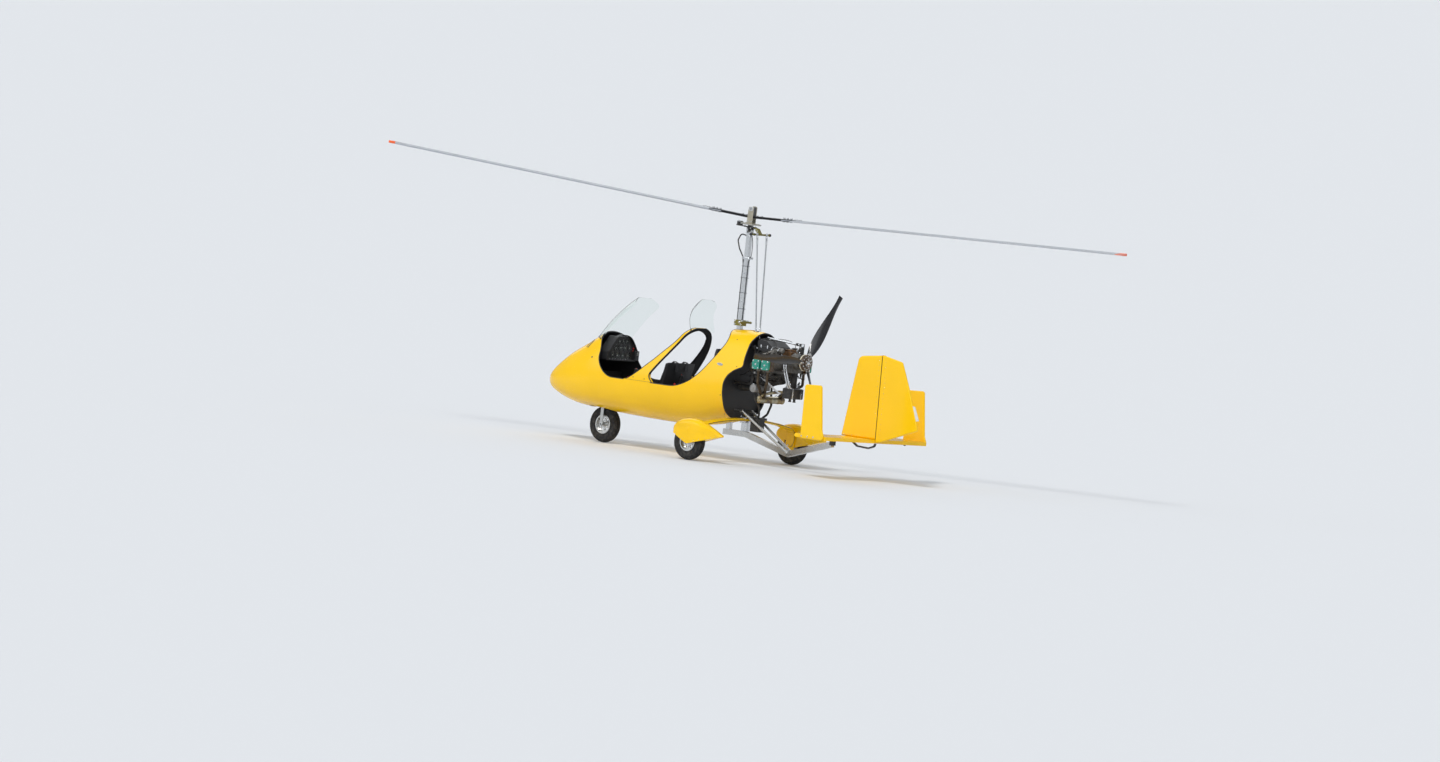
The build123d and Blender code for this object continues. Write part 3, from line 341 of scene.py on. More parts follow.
OLIVE = cast("olive_fitting", "olive_fitting", rgb(132, 124, 62), 0.35, 0.7, 0.4)
ROTOR = brushed("rotor_alloy", "rotor_alloy", rgb(186, 190, 196), 0.3, (1, 18, 1), 160.0, 0.75)
HUB_BLACK = plain("hub_black", "hub_black", rgb(36, 36, 38), 0.36, 0.7, grain=0.00004,
                  wear=rgb(140, 138, 134))
HUB_METAL = cast("hub_metal", "hub_black", rgb(112, 98, 86), 0.4, 0.8, 0.34)
CREAM = plain("ring_cream", "hub_black", rgb(226, 218, 194), 0.4, blotch=0.08, wear=rgb(120, 110, 96),
              dust=0.2)
CHROME = brushed("strut_chrome", "polished_steel", rgb(238, 240, 242), 0.1, (14, 1, 1), 200.0, 1.0, 0.04)
WHITE = plain("dial_white", "black_trim", rgb(222, 222, 214), 0.5, blotch=0.03)
RED = plain("switch_red", "orange_tip", rgb(190, 30, 22), 0.35, blotch=0.04)
ORANGE = plain("orange_tip", "orange_tip", rgb(240, 96, 28), 0.34, coat=0.4, blotch=0.05)
PROP = plain("prop_black", "prop_black", rgb(30, 30, 34), 0.3, coat=0.35, blotch=0.15, blotch_scale=30.0)
RUBBER = rubber("tyre_rubber")
RIM = brushed("rim_alloy", "rim_alloy", rgb(206, 206, 204), 0.24, (1, 1, 1), 320.0)
CLOTH = woven("seat_cloth", "seat_cloth", rgb(50, 50, 54))
WEB = woven("belt_webbing", "seat_cloth", rgb(44, 44, 48), 1300.0, 0.0004)
HEAT = heated("exhaust_steel")
# Painted shade: the header pipes get a dark brown, much darker than the silencer, for the shadow they lie in
PIPES_PAINTED_SHADE = cast("header_pipes_painted_shade", "polished_steel", rgb(96, 84, 70), 0.7, 0.9, 0.4)
BRAID = woven("steel_braid", "polished_steel", rgb(226, 228, 230), 1600.0, 0.0006)
BRAID.node_tree.nodes["Principled BSDF"].inputs["Metallic"].default_value = 1.0
HOSE = plain("hose_rubber", "black_trim", rgb(28, 28, 29), 0.5, grain=0.00015, grain_scale=900.0, dust=0.2)
# Painted shade: a darkened alloy for the sump and regulators, standing for the shadow under the engine
ALLOY_PAINTED_SHADE = cast("alloy_painted_shade", "engine_alloy", rgb(70, 68, 66), 0.7, 0.7, 0.5)
TAB = plain("tab_grey", "polished_steel", rgb(214, 216, 214), 0.4, blotch=0.05, wear=rgb(160, 160, 158))
FILTER = plain("filter_grey", "engine_alloy", rgb(150, 150, 150), 0.38, 0.3, grain=0.00005, dust=0.2)

CARRIED = {
    SHELL: "fuselage_shell cockpit_bow",
    YELLOW: "gear_bow wheel_spats stabilizer centre_fin tip_fins rudder",
    CLEAR: "front_windscreen rear_windscreen",
    BLACK: "instrument_panel control_sticks firewall nose_bulkhead airbox",
    SATIN: "rudder_pedals engine_mount engine_tray rear_muffler tail_mount tail_skid prerotator head_bracket",
    STEEL: "mast control_rod_left control_rod_right main_axles gear_saddle",
    CHROME: "top_strut",
    TUBE: "keel_tube brace_tubes nose_fork",
    ALLOY: "crankcase cylinders carburettors gearbox gimbal_block",
    TOWER: "rotor_tower",
    BRONZE: "cylinder_heads",
    GREEN: "valve_covers",
    OLIVE: "mast_fittings pitch_lever",
    ROTOR: "rotor_blades",
    HUB_BLACK: "hub_bar",
    HUB_METAL: "prop_hub",
    ORANGE: "blade_tips",
    PROP: "prop_blades",
    RUBBER: "nose_tyre left_tyre right_tyre",
    RIM: "nose_rim left_rim right_rim",
    HOSE: "engine_hoses mast_cable",
    HEAT: "silencer",
    PIPES_PAINTED_SHADE: "exhaust_pipes",
    FILTER: "oil_filter",
    CLOTH: "front_seat rear_seat",
}
for material, names in CARRIED.items():
    for name in names.split():
        slots = NODES[name].data.materials
        slots.clear()
        slots.append(material)


floor_mesh = bpy.data.meshes.new("floor")
FLOOR_HALF = 700
corners = [(x * FLOOR_HALF, y * FLOOR_HALF, 0) for x, y in ((-1, -1), (1, -1), (1, 1), (-1, 1))]
floor_mesh.from_pydata(corners, [], [(0, 1, 2, 3)])
floor = bpy.data.objects.new("floor", floor_mesh)
floor.location.z = -0.001
scene.collection.objects.link(floor)
p = Paint("studio_floor")
p.set(Base_Color=SKY, Roughness=0.9, Specular_IOR_Level=0.0)
floor_mesh.materials.append(p.m)

# Mesh building


def axes(axis, side=None):
    """Three unit vectors: across, across again, and along an axis."""
    a = Vector(axis).normalized()
    u = (Vector(side) - a * a.dot(Vector(side))).normalized() if side else a.orthogonal().normalized()
    return u, a.cross(u), a


def smooth(points, steps=6, closed=False):
    """A rounder path through the points."""
    pts = [Vector(p) for p in points]
    n = len(pts)
    out = []
    for i in range(n if closed else n - 1):
        a, b, c, d = (pts[(i + k) % n] if closed else pts[min(max(i + k, 0), n - 1)] for k in (-1, 0, 1, 2))
        for j in range(steps):
            t = j / steps
            bend = (2 * a - 5 * b + 4 * c - d) * t * t + (3 * b - 3 * c + d - a) * t**3
            out.append(0.5 * (2 * b + (c - a) * t + bend))
    if not closed:
        out.append(pts[-1])
    return out


def soften(points, rounds=1):
    """The same path with each inner point drawn towards its neighbours."""
    for k in range(rounds):
        inner = [(a + b * 2 + c) / 4 for a, b, c in zip(points, points[1:], points[2:])]
        points = [points[0]] + inner + [points[-1]]
    return points


def circle(at, radius, count, start=0.0, plane="xy"):
    """Points spread evenly round a circle in the plane of two axes."""
    u, v = (Vector([float(letter == axis) for letter in "xyz"]) for axis in plane)
    turns = [start + 2 * pi * k / count for k in range(count)]
    return [Vector(at) + (u * cos(t) + v * sin(t)) * radius for t in turns]


def round_edges(bm, size, segments=2):
    bmesh.ops.bevel(bm, geom=list(bm.edges), offset=size, segments=segments, affect="EDGES", profile=0.5)


class Kit:
    """Gathers small solids into one mesh that rides on a body."""

    def __init__(self, name, material, body="airframe", place=None, angle=38.0):
        self.name, self.material, self.body, self.angle = name, material, body, radians(angle)
        self.place = place or Matrix.Identity(4)
        self.bm = bmesh.new()

    def skin(self, verts, faces):
        vs = [self.bm.verts.new(self.place @ Vector(v)) for v in verts]
        for f in faces:
            if len(set(f)) > 2:
                self.bm.faces.new([vs[i] for i in f])

    def loops(self, rings, cap=True, closed=False):
        """Joins rings of as many points each into one skin."""
        n = len(rings[0])
        verts = [v for ring in rings for v in ring]
        faces = []
        last = len(rings) if closed else len(rings) - 1
        for i in range(last):
            a, b = i * n, (i + 1) % len(rings) * n
            faces += [(a + j, a + (j + 1) % n, b + (j + 1) % n, b + j) for j in range(n)]
        if cap and not closed:
            faces += [tuple(range(n))[::-1], tuple((len(rings) - 1) * n + j for j in range(n))]
        self.skin(verts, faces)

    def lathe(self, profile, at, axis=(0, 0, 1), n=24, cap=True):
        """Turns (radius, height) points about an axis."""
        u, v, a = axes(axis)
        at = Vector(at)
        rings = []
        for r, h in profile:
            turns = [2 * pi * j / n for j in range(n)]
            rings.append([at + a * h + (u * cos(t) + v * sin(t)) * max(r, 0.00005) for t in turns])
        self.loops(rings, cap)

    def tube(self, points, r, n=10, closed=False, r_end=None):
        pts = [Vector(p) for p in points]
        side = None
        rings = []
        for i, p in enumerate(pts):
            a = pts[(i - 1) % len(pts)] if closed or i else pts[0]
            b = pts[(i + 1) % len(pts)] if closed or i < len(pts) - 1 else pts[-1]
            u, v, w = axes(b - a, side)
            side = u
            k = r + ((r_end or r) - r) * i / (len(pts) - 1)
            rings.append([p + (u * cos(2 * pi * j / n) + v * sin(2 * pi * j / n)) * k for j in range(n)])
        self.loops(rings, True, closed)

    def pipe(self, points, r, n=8):
        self.tube(smooth(points), r, n)

    def box(self, low, high, bevel=0.0015, turn=None):
        tmp = bmesh.new()
        bmesh.ops.create_cube(tmp, size=1.0)
        low, high = Vector(low), Vector(high)
        for v in tmp.verts:
            v.co = Vector([(high[k] - low[k]) * v.co[k] for k in range(3)])
        if bevel:
            round_edges(tmp, bevel)
        middle = Matrix.Translation((low + high) / 2)
        tmp.transform(middle @ (turn or Matrix.Identity(4)))
        self.take(tmp)

    def take(self, other):
        """Adds another mesh, drawn in place."""
        other.transform(self.place)
        mesh = bpy.data.meshes.new("tmp")
        other.to_mesh(mesh)
        other.free()
        self.bm.from_mesh(mesh)
        bpy.data.meshes.remove(mesh)

    def bolt(self, at, axis, r=0.006, h=None, washer=True, nut=False):
        """A hexagon head on its washer, or a nut with a bit of thread."""
        h = h or r * 1.1
        base = 0.0
        if washer:
            self.lathe(((r * 1.5, 0), (r * 1.5, r * 0.22)), at, axis, 16)
            base = r * 0.22
        self.lathe(((r * 1.08, base), (r * 1.08, base + h * 0.8), (r * 0.86, base + h)), at, axis, 6)
        if nut:
            self.lathe(((r * 0.55, base + h), (r * 0.55, base + h * 1.7), (r * 0.42, base + h * 1.85)), at,
                       axis, 10)

    def band(self, inner, outer, half, at, axis, n=24):
        """A flat ring round an axis, as wide as twice its half width."""
        self.lathe(((inner, -half), (outer, -half), (outer, half), (inner, half)), at, axis, n, cap=False)

    def rivet(self, at, axis, r=0.003):
        self.lathe(((r, -r * 0.2), (r * 0.92, r * 0.3), (r * 0.5, r * 0.62)), at, axis, 8)

    def prism(self, points, at, u, v, depth, bevel=0.0):
        """A flat outline in the plane of u and v, made thick along their cross product."""
        u, v, at = Vector(u).normalized(), Vector(v).normalized(), Vector(at)
        w = u.cross(v)
        tmp = bmesh.new()
        rings = [[tmp.verts.new(at + u * a + v * b + w * d) for a, b in points] for d in (0, depth)]
        n = len(points)
        for j in range(n):
            tmp.faces.new((rings[0][j], rings[0][(j + 1) % n], rings[1][(j + 1) % n], rings[1][j]))
        tmp.faces.new(rings[0][::-1])
        tmp.faces.new(rings[1])
        if bevel:
            round_edges(tmp, bevel)
        self.take(tmp)

    def strap(self, points, width, thick, normals):
        """A flat strap along a path whose flat side faces the given normals."""
        pts = [Vector(p) for p in points]
        rings = []
        for i, p in enumerate(pts):
            along = (pts[min(i + 1, len(pts) - 1)] - pts[max(i - 1, 0)]).normalized()
            up = Vector(normals[i]).normalized()
            across = along.cross(up).normalized() * width / 2
            rise = across.cross(along).normalized() * thick / 2
            rings.append([p + across * a + rise * b for a, b in ((-1, -1), (-0.96, 1), (0.96, 1), (1, -1))])
        self.loops(rings)

    def words(self, text, at, size, u, v, depth=0.0004):
        """Plain numerals in the plane of u and v."""
        curve = bpy.data.curves.new("words", "FONT")
        curve.body, curve.size, curve.align_x, curve.align_y = text, size, "CENTER", "CENTER"
        curve.extrude, curve.resolution_u = depth, 2
        holder = bpy.data.objects.new("words", curve)
        mesh = bpy.data.meshes.new_from_object(holder)
        u, v = Vector(u).normalized(), Vector(v).normalized()
        tmp = bmesh.new()
        tmp.from_mesh(mesh)
        tmp.transform(basis(u, v, u.cross(v), at))
        self.take(tmp)
        bpy.data.objects.remove(holder)
        bpy.data.curves.remove(curve)
        bpy.data.meshes.remove(mesh)

    def done(self):
        bmesh.ops.recalc_face_normals(self.bm, faces=self.bm.faces)
        for f in self.bm.faces:
            f.smooth = True
        for e in self.bm.edges:
            if len(e.link_faces) == 2:
                e.smooth = e.calc_face_angle(0.0) < self.angle
        mesh = bpy.data.meshes.new(self.name)
        self.bm.to_mesh(mesh)
        self.bm.free()
        mesh.materials.append(self.material)
        piece = bpy.data.objects.new(self.name, mesh)
        scene.collection.objects.link(piece)
        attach(piece, self.body)
        return piece


def mesh_tree(meshes):
    """One tree of the faces of several meshes, for rays."""
    verts, faces = [], []
    for mesh in meshes:
        base = len(verts)
        verts += [v.co.copy() for v in mesh.vertices]
        faces += [[base + i for i in f.vertices] for f in mesh.polygons]
    return BVHTree.FromPolygons(verts, faces)


def surface(*names):
    return mesh_tree([NODES[name].data for name in names])


def on(tree, start, way, gap=0.0):
    """Where a ray meets a surface, lifted by a gap, and the normal there."""
    hit, normal = tree.ray_cast(Vector(start), Vector(way).normalized())[:2]
    if hit is None:
        return None, None
    return hit + normal * gap, normal


SKIN = surface("fuselage_shell", "cockpit_bow")


# Hull


def rim_paths(name, keep):
    """Paths along the sharp outer edges of a shell, walked in the mesh's own order."""
    bm = bmesh.new()
    bm.from_mesh(NODES[name].data)
    bmesh.ops.remove_doubles(bm, verts=bm.verts, dist=1e-5)
    chosen = {}
    for e in bm.edges:
        if len(e.link_faces) != 2 or e.calc_face_angle(0.0) < 0.7:
            continue
        middle = (e.verts[0].co + e.verts[1].co) / 2
        away = Vector((0, middle.y, middle.z - HULL_AXIS)).normalized()
        if max(f.normal.dot(away) for f in e.link_faces) > 0.45 and keep(middle):
            chosen[e] = True
    paths = []
    while chosen:
        e = next(iter(chosen))
        del chosen[e]
        path = [e.verts[0], e.verts[1]]
        for end in (True, False):
            while True:
                tip = path[-1] if end else path[0]
                follow = next((f for f in tip.link_edges if f in chosen), None)
                if follow is None:
                    break
                del chosen[follow]
                path.insert(len(path) if end else 0, follow.other_vert(tip))
        points = [path[0].co.copy()]
        for v in path[1:]:
            if (v.co - points[-1]).length > 0.008:
                points.append(v.co.copy())
        if len(points) > 6:
            paths.append(points)
    bm.free()
    return paths


def edge_tube(kit, path, sink, radius, closed=False):
    """A round edging along a path, sunk a little towards the hull's axis."""
    inset = [p - Vector((0, p.y, p.z - HULL_AXIS)).normalized() * sink for p in path]
    kit.tube(inset[:-1] if closed else inset, radius, 8, closed)


def hull_strap(kit, places, side, width, thick, gap):
    """A strap laid on one side of the hull through (x, z) places."""
    found = [on(SKIN, (x, side * 1.5, z), (0, -side, 0), gap) for x, z in places]
    found = [pair for pair in found if pair[0]]
    if len(found) > 2:
        kit.strap([at for at, normal in found], width, thick, [normal for at, normal in found])


# Black rubber edging round the cockpit openings, laid along the dark shadow line at their edges: partly
# painted shade
trim = Kit("cockpit_edge_trim_painted_shade", BLACK)
for name, keep in (
    ("fuselage_shell", lambda m: m.z > 0.5 and m.x > -0.2 and not (0.8 < m.x < 1.25 and m.z < 0.735)),
    ("cockpit_bow", lambda m: m.z > 0.735 and m.x < 1.2),
):
    for path in rim_paths(name, keep):
        edge_tube(trim, path, 0.003, 0.0055, (path[0] - path[-1]).length < 0.03)
trim.done()

# Black rubber edging round the engine bay opening, laid along the dark shadow line at its edge: partly
# painted shade
lip = Kit("engine_bay_edge_trim_painted_shade", BLACK)
for path in rim_paths("fuselage_shell", lambda m: m.x < -0.13 and abs(m.y) > 0.061 or m.x < -0.33):
    edge_tube(lip, path, 0.004, 0.0075)
lip.done()

screws = Kit("hull_fasteners", SATIN)
for s in (1, -1):
    for x, z, r in ((1.741, 0.905, 0.009), (0.905, 0.935, 0.0085), (0.773, 1.068, 0.0075),
                    (1.09, 0.76, 0.006), (0.93, 0.755, 0.006),
                    (-0.02, 1.22, 0.006), (-0.16, 1.3, 0.006), (-0.28, 1.02, 0.006), (-0.13, 0.7, 0.006),
                    (-0.12, 0.5, 0.006)):
        at, normal = on(SKIN, (x, s * 1.5, z), (0, -s, 0))
        if at:
            screws.lathe(((r, -0.001), (r, 0.0012), (r * 0.8, 0.0024), (r * 0.3, 0.0026)), at, normal, 14)
screws.done()

joint = Kit("bow_joint_line", BLACK)
for s in (1, -1):
    hull_strap(joint, [(0.850 + 0.38 * k / 14, 0.729) for k in range(15)], s, 0.0024, 0.0012, 0.0002)
joint.done()

vents = Kit("nose_vents", BLACK)
for s in (1, -1):
    for dx in (0.0, 0.032):
        places = [(1.905 - dx - 0.05 * k / 6, 1.0 + 0.088 * k / 6 - dx * 0.2) for k in range(7)]
        hull_strap(vents, places, s, 0.011, 0.003, 0.0008)
vents.done()

strobe = Kit("side_strobes", RIM)
lens_kit = Kit("side_strobe_lenses", CLEAR)
for s in (1, -1):
    at, normal = on(SKIN, (-0.058, s * 1.5, 1.022), (0, -s, 0))
    u, v, w = axes(normal, (1, 0, 0.05))
    turns = [2 * pi * k / 28 for k in range(28)]
    ring = [(0.034 * cos(t) * (1 + 0.2 * abs(cos(t))), 0.014 * sin(t)) for t in turns]
    strobe.prism(ring, at - w * 0.001, u, v, 0.006, 0.0015)
    lens_kit.prism([(a * 0.8, b * 0.75) for a, b in ring], at + w * 0.005, u, v, 0.007, 0.002)
strobe.done()
lens_kit.done()


# Seats


def fabric(name, material, bm):
    mesh = bpy.data.meshes.new(name)
    bm.to_mesh(mesh)
    bm.free()
    for f in mesh.polygons:
        f.use_smooth = True
    mesh.materials.append(material)
    piece = bpy.data.objects.new(name, mesh)
    scene.collection.objects.link(piece)
    return piece


def bake(piece):
    """Applies whatever modifiers the piece has."""
    bpy.context.view_layer.update()
    mesh = bpy.data.meshes.new_from_object(piece.evaluated_get(bpy.context.evaluated_depsgraph_get()))
    piece.modifiers.clear()
    piece.data = mesh
    for f in mesh.polygons:
        f.use_smooth = True


MOST_SWELL = 0.014
CLOTH_STEPS = 20
GROOVE_HALF = 0.0075
CUSHION_HALF = 0.198
SHELL_HALF = 0.213


def pad(name, rear_low, rear_high, thick, half, grooves, cross):
    """A cushion whose back lies on the line between two (x, z) points, blown up as cloth and then quilted."""
    low, high = (Vector((x, 0, z)) for x, z in (rear_low, rear_high))
    v = (high - low).normalized()
    u = Vector((0, 1, 0))
    w = u.cross(v)
    length = (high - low).length
    place = basis(u, v, w, low)
    bm = bmesh.new()
    bmesh.ops.create_cube(bm, size=1.0)
    for vert in bm.verts:
        c = vert.co
        vert.co = Vector((c.x * 2 * half, (c.y + 0.5) * length, (c.z + 0.5) * thick))
    round_edges(bm, 0.013, 3)
    bm.transform(place)
    piece = fabric(name, CLOTH, bm)
    remesh = piece.modifiers.new("remesh", "REMESH")
    remesh.mode, remesh.voxel_size = "VOXEL", 0.007
    bake(piece)
    before = [vert.co.copy() for vert in piece.data.vertices]
    cloth = piece.modifiers.new("cloth", "CLOTH")
    cloth.settings.quality = 3
    cloth.settings.use_pressure = True
    cloth.settings.uniform_pressure_force = 4.0
    cloth.settings.tension_stiffness = cloth.settings.compression_stiffness = 12
    cloth.settings.bending_stiffness = 0.4
    cloth.settings.effector_weights.gravity = 0.0
    cloth.point_cache.frame_start, cloth.point_cache.frame_end = 1, CLOTH_STEPS
    for k in range(1, CLOTH_STEPS + 1):
        scene.frame_set(k)
    bake(piece)
    scene.frame_set(1)
    for vert, old in zip(piece.data.vertices, before):
        move = vert.co - old
        if move.length > MOST_SWELL:
            vert.co = old + move * (MOST_SWELL / move.length)
    piece.modifiers.new("smooth", "SUBSURF").levels = 1
    bake(piece)
    inverse = place.inverted()
    for vert in piece.data.vertices:
        c = inverse @ vert.co
        if c.z < thick * 0.35:
            continue
        across, along = c.x, c.y / length
        sink = 0.0
        for g in grooves:
            if 0.09 < along < 0.91:
                sink = max(sink, (1 - min(abs(across - g) / GROOVE_HALF, 1)) ** 0.7)
        for g in cross:
            sink = max(sink, (1 - min(abs(c.y - g * length) / GROOVE_HALF, 1)) ** 0.7)
        crease = 0.0012 * noise.noise(vert.co * 26)
        lift = Vector((0, 0, crease - 0.006 * sink))
        vert.co += place.to_3x3() @ lift
    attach(piece, "airframe")
    tree = mesh_tree([piece.data])
    piping = Kit(name + "_piping", BLACK)
    ring = []
    a, b = half - 0.006, length
    corner = 0.03
    for cx, cy, start in ((a - corner, b - 0.006 - corner, 0), (-a + corner, b - 0.006 - corner, 90),
                          (-a + corner, 0.006 + corner, 180), (a - corner, 0.006 + corner, 270)):
        for k in range(5):
            t = radians(start + 22.5 * k)
            ring.append(Vector((cx + corner * cos(t), cy + corner * sin(t), thick)))
    full = []
    for i, p in enumerate(ring):
        q = ring[(i + 1) % len(ring)]
        steps = max(1, int((q - p).length / 0.03))
        full += [p.lerp(q, k / steps) for k in range(steps)]
    path = [tree.find_nearest(place @ p)[0] for p in full]
    piping.tube(path, 0.0036, 6, True)
    piping.done()
    return piece


def strap_path(tree, profile, y_from, y_to, start, end, count=26):
    """Points on the cushions along part of a seat's (x, z) profile, from its top down to its front."""
    points = [Vector((x, 0, z)) for x, z in profile]
    lengths = [(b - a).length for a, b in zip(points, points[1:])]
    total = sum(lengths)
    normals = [Vector((0, 1, 0)).cross(a - b).normalized() for a, b in zip(points, points[1:])]
    path, ups = [], []
    for k in range(count):
        t = k / (count - 1)
        s = (start + (end - start) * t) * total
        i = 0
        while i < len(lengths) - 1 and s > lengths[i]:
            s -= lengths[i]
            i += 1
        p = points[i].lerp(points[i + 1], s / lengths[i])
        n = normals[i].copy()
        reach = 0.12
        if i + 1 < len(normals) and lengths[i] - s < reach:
            n = normals[i].lerp(normals[i + 1], 0.5 - (lengths[i] - s) / reach / 2)
        if i and s < reach:
            n = normals[i - 1].lerp(normals[i], 0.5 + s / reach / 2)
        n.normalize()
        p.y = y_from + (y_to - y_from) * t
        hit = tree.ray_cast(p + n * 0.16, -n)[0]
        if hit is not None:
            path.append(hit + n * 0.003)
            ups.append(n)
    if len(path) < 2:
        return None, None
    return soften(path, 3), ups


def seat(name, shell, cushions, profile):
    """A moulded shell with its cushions, their belts and the buckle."""
    kit = Kit(name + "_shell", BLACK)
    kit.prism(shell, (0, SHELL_HALF, 0), FORE, UP, 2 * SHELL_HALF, 0.004)
    base = kit.done()
    pads = []
    for i, (low, high, thick, grooves, cross) in enumerate(cushions):
        pads.append(pad(f"{name}_cushion_{i + 1}", low, high, thick, CUSHION_HALF, grooves, cross))
    whole = mesh_tree([piece.data for piece in pads])
    for piece in [base] + pads:
        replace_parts(piece, name)
    belts = Kit(name + "_belts", WEB)
    metal = Kit(name + "_buckles", STEEL)
    lengths = [hypot(a[0] - b[0], a[1] - b[1]) for a, b in zip(profile, profile[1:])]
    joint = 1 - lengths[-1] / sum(lengths)
    for s in (1, -1):
        path, ups = strap_path(whole, profile, s * 0.085, s * 0.016, 0.02, joint + 0.13)
        top = Vector((profile[0][0], path[0].y, profile[0][1]))
        over = [top + Vector((-0.062, 0, -0.10)), top + Vector((-0.058, 0, 0.0)),
                top + Vector((-0.022, 0, 0.012))]
        belts.strap(over + path, 0.044, 0.0022, [(-1, 0, 0), (-0.8, 0, 0.7), (-0.1, 0, 1)] + ups)
        end, end_up = path[-1], ups[-1]
        at = path[12]
        u, v, w = axes(ups[12], (0, 1, 0))
        along = (path[13] - path[11]).normalized()
        at = at + w * 0.003
        for d in (-0.019, 0.0, 0.019):
            metal.tube([at + u * 0.027 + along * d, at - u * 0.027 + along * d], 0.0024, 8)
        for side in (-0.027, 0.027):
            metal.tube([at + u * side - along * 0.0205, at + u * side + along * 0.0205], 0.0024, 8)
        lap, lap_up = [], []
        for k in range(12):
            y = s * (0.196 + (0.02 - 0.196) * k / 11)
            sink = joint + 0.03 + 0.10 * k / 11
            part, normals = strap_path(whole, profile, y, y, sink, sink + 0.001, 2)
            if part:
                lap.append(part[0])
                lap_up.append(normals[0])
        if len(lap) > 4:
            lap = soften(lap, 2)
            belts.strap([Vector((lap[0].x, s * 0.206, lap[0].z - 0.05))] + lap, 0.046, 0.0022,
                        [(0, s, 0.2)] + lap_up)
            metal.bolt((lap[0].x, s * 0.214, lap[0].z - 0.06), (0, s, 0), 0.007)
    at = end
    u, v, w = axes(end_up, (0, 1, 0))
    metal.lathe(((0.030, 0), (0.032, 0.004), (0.030, 0.011), (0.022, 0.013), (0.021, 0.016),
                 (0.008, 0.018)), at + w * 0.001, w, 28)
    for t in range(4):
        turn = radians(45 + 90 * t)
        metal.prism([(-0.024, -0.012), (0.024, -0.012), (0.026, 0.014), (-0.026, 0.014)],
                    at + (u * cos(turn) + v * sin(turn)) * 0.034 + w * 0.001, u, v, 0.004, 0.001)
    belts.done()
    metal.done()


seat(
    "front_seat",
    ((1.330, 0.401), (1.330, 0.424), (0.958, 0.409), (0.772, 0.936), (0.768, 0.952), (0.737, 0.957),
     (0.900, 0.401)),
    (((1.326, 0.427), (0.990, 0.412), 0.040, (-0.066, 0.066), (0.33, 0.66)),
     ((0.950, 0.437), (0.772, 0.945), 0.036, (-0.105, 0.105), (0.28, 0.52, 0.76))),
    ((0.800, 0.960), (0.985, 0.455), (1.330, 0.478)),
)
seat(
    "rear_seat",
    ((0.690, 0.431), (0.690, 0.452), (0.300, 0.436), (0.172, 0.985), (0.098, 1.172), (0.078, 1.176),
     (0.142, 0.960),
     (0.262, 0.401)),
    (((0.686, 0.456), (0.334, 0.441), 0.042, (-0.066, 0.066), (0.33, 0.66)),
     ((0.286, 0.468), (0.165, 0.985), 0.040, (-0.105, 0.105), (0.28, 0.52, 0.76)),
     ((0.152, 1.002), (0.100, 1.168), 0.034, (), (0.5,))),
    ((0.130, 1.180), (0.200, 1.000), (0.330, 0.486), (0.690, 0.508)),
)


# Wheels


def wheel(name, body, at):
    at = Vector(at)
    tyre = Kit(name + "_tread", RUBBER, body, angle=30.0)
    tread = []
    for low, high in ((0.0, 0.0075), (0.0125, 0.0205), (0.0255, 0.0335)):
        for h in (low, high):
            tread.append((0.1945 - 0.0075 * (h / 0.034) ** 2, h))
        if high < 0.03:
            tread.append((tread[-1][0] - 0.0055, high + 0.0012))
            tread.append((tread[-2][0] - 0.0052, high + 0.0038))
    side = [(0.1815, 0.0385), (0.1740, 0.0440), (0.1655, 0.0475), (0.1640, 0.0482), (0.1620, 0.0479),
            (0.150, 0.0492),
            (0.138, 0.0488), (0.1365, 0.0494), (0.1345, 0.0486), (0.124, 0.0462), (0.114, 0.0424),
            (0.1105, 0.0425),
            (0.1075, 0.0405), (0.1035, 0.0375), (0.1030, 0.0300)]
    half = tread + side
    loop = [(r, -h) for r, h in half[::-1]][:-1] + half
    tyre.lathe(loop + [(0.1025, 0.028), (0.1025, -0.028)], at, (0, 1, 0), 96, cap=False)
    for k in range(36):
        t = 2 * pi * k / 36
        for s in (1, -1):
            out = Vector((cos(t), 0, sin(t)))
            inner = at + out * 0.1705 + Vector((0, s * 0.0459, 0))
            tyre.tube([at + out * 0.184 + Vector((0, s * 0.0352, 0)), inner], 0.0014, 5)
    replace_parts(tyre.done(), name + "_tyre")
    fit = Kit(name + "_wheel_bolts", STEEL, body)
    for s in (1, -1):
        for k in range(6):
            for r, size in ((0.058, 0.0052), (0.036, 0.004)):
                t = radians(30 + 60 * k)
                fit.bolt(at + Vector((r * cos(t), s * 0.008, r * sin(t))), (0, s, 0), size)
        fit.lathe(((0.0215, 0), (0.0245, 0.0006), (0.0245, 0.003), (0.0215, 0.0036)),
                  at + Vector((0, s * 0.038, 0)), (0, s, 0), 28, cap=False)
    fit.done()
    stem = Kit(name + "_valve", RUBBER, body)
    root = at + Vector((0.0915 * cos(0.6), 0.022, 0.0915 * sin(0.6)))
    way = Vector((-0.8 * cos(0.6), 0.6, -0.8 * sin(0.6)))
    stem.lathe(((0.0058, -0.004), (0.0058, 0.003), (0.0040, 0.006), (0.0036, 0.022), (0.0045, 0.0225),
                (0.0045, 0.031), (0.0035, 0.0325)), root, way, 12)
    stem.done()


for name, body, at in (
    ("nose", "nose_wheel", (NOSE_X, 0, AXLE)),
    ("left", "left_wheel", (MAIN_X, HALF_TRACK, AXLE)),
    ("right", "right_wheel", (MAIN_X, -HALF_TRACK, AXLE)),
):
    wheel(name, body, at)


# Instrument panel, sticks and pedals

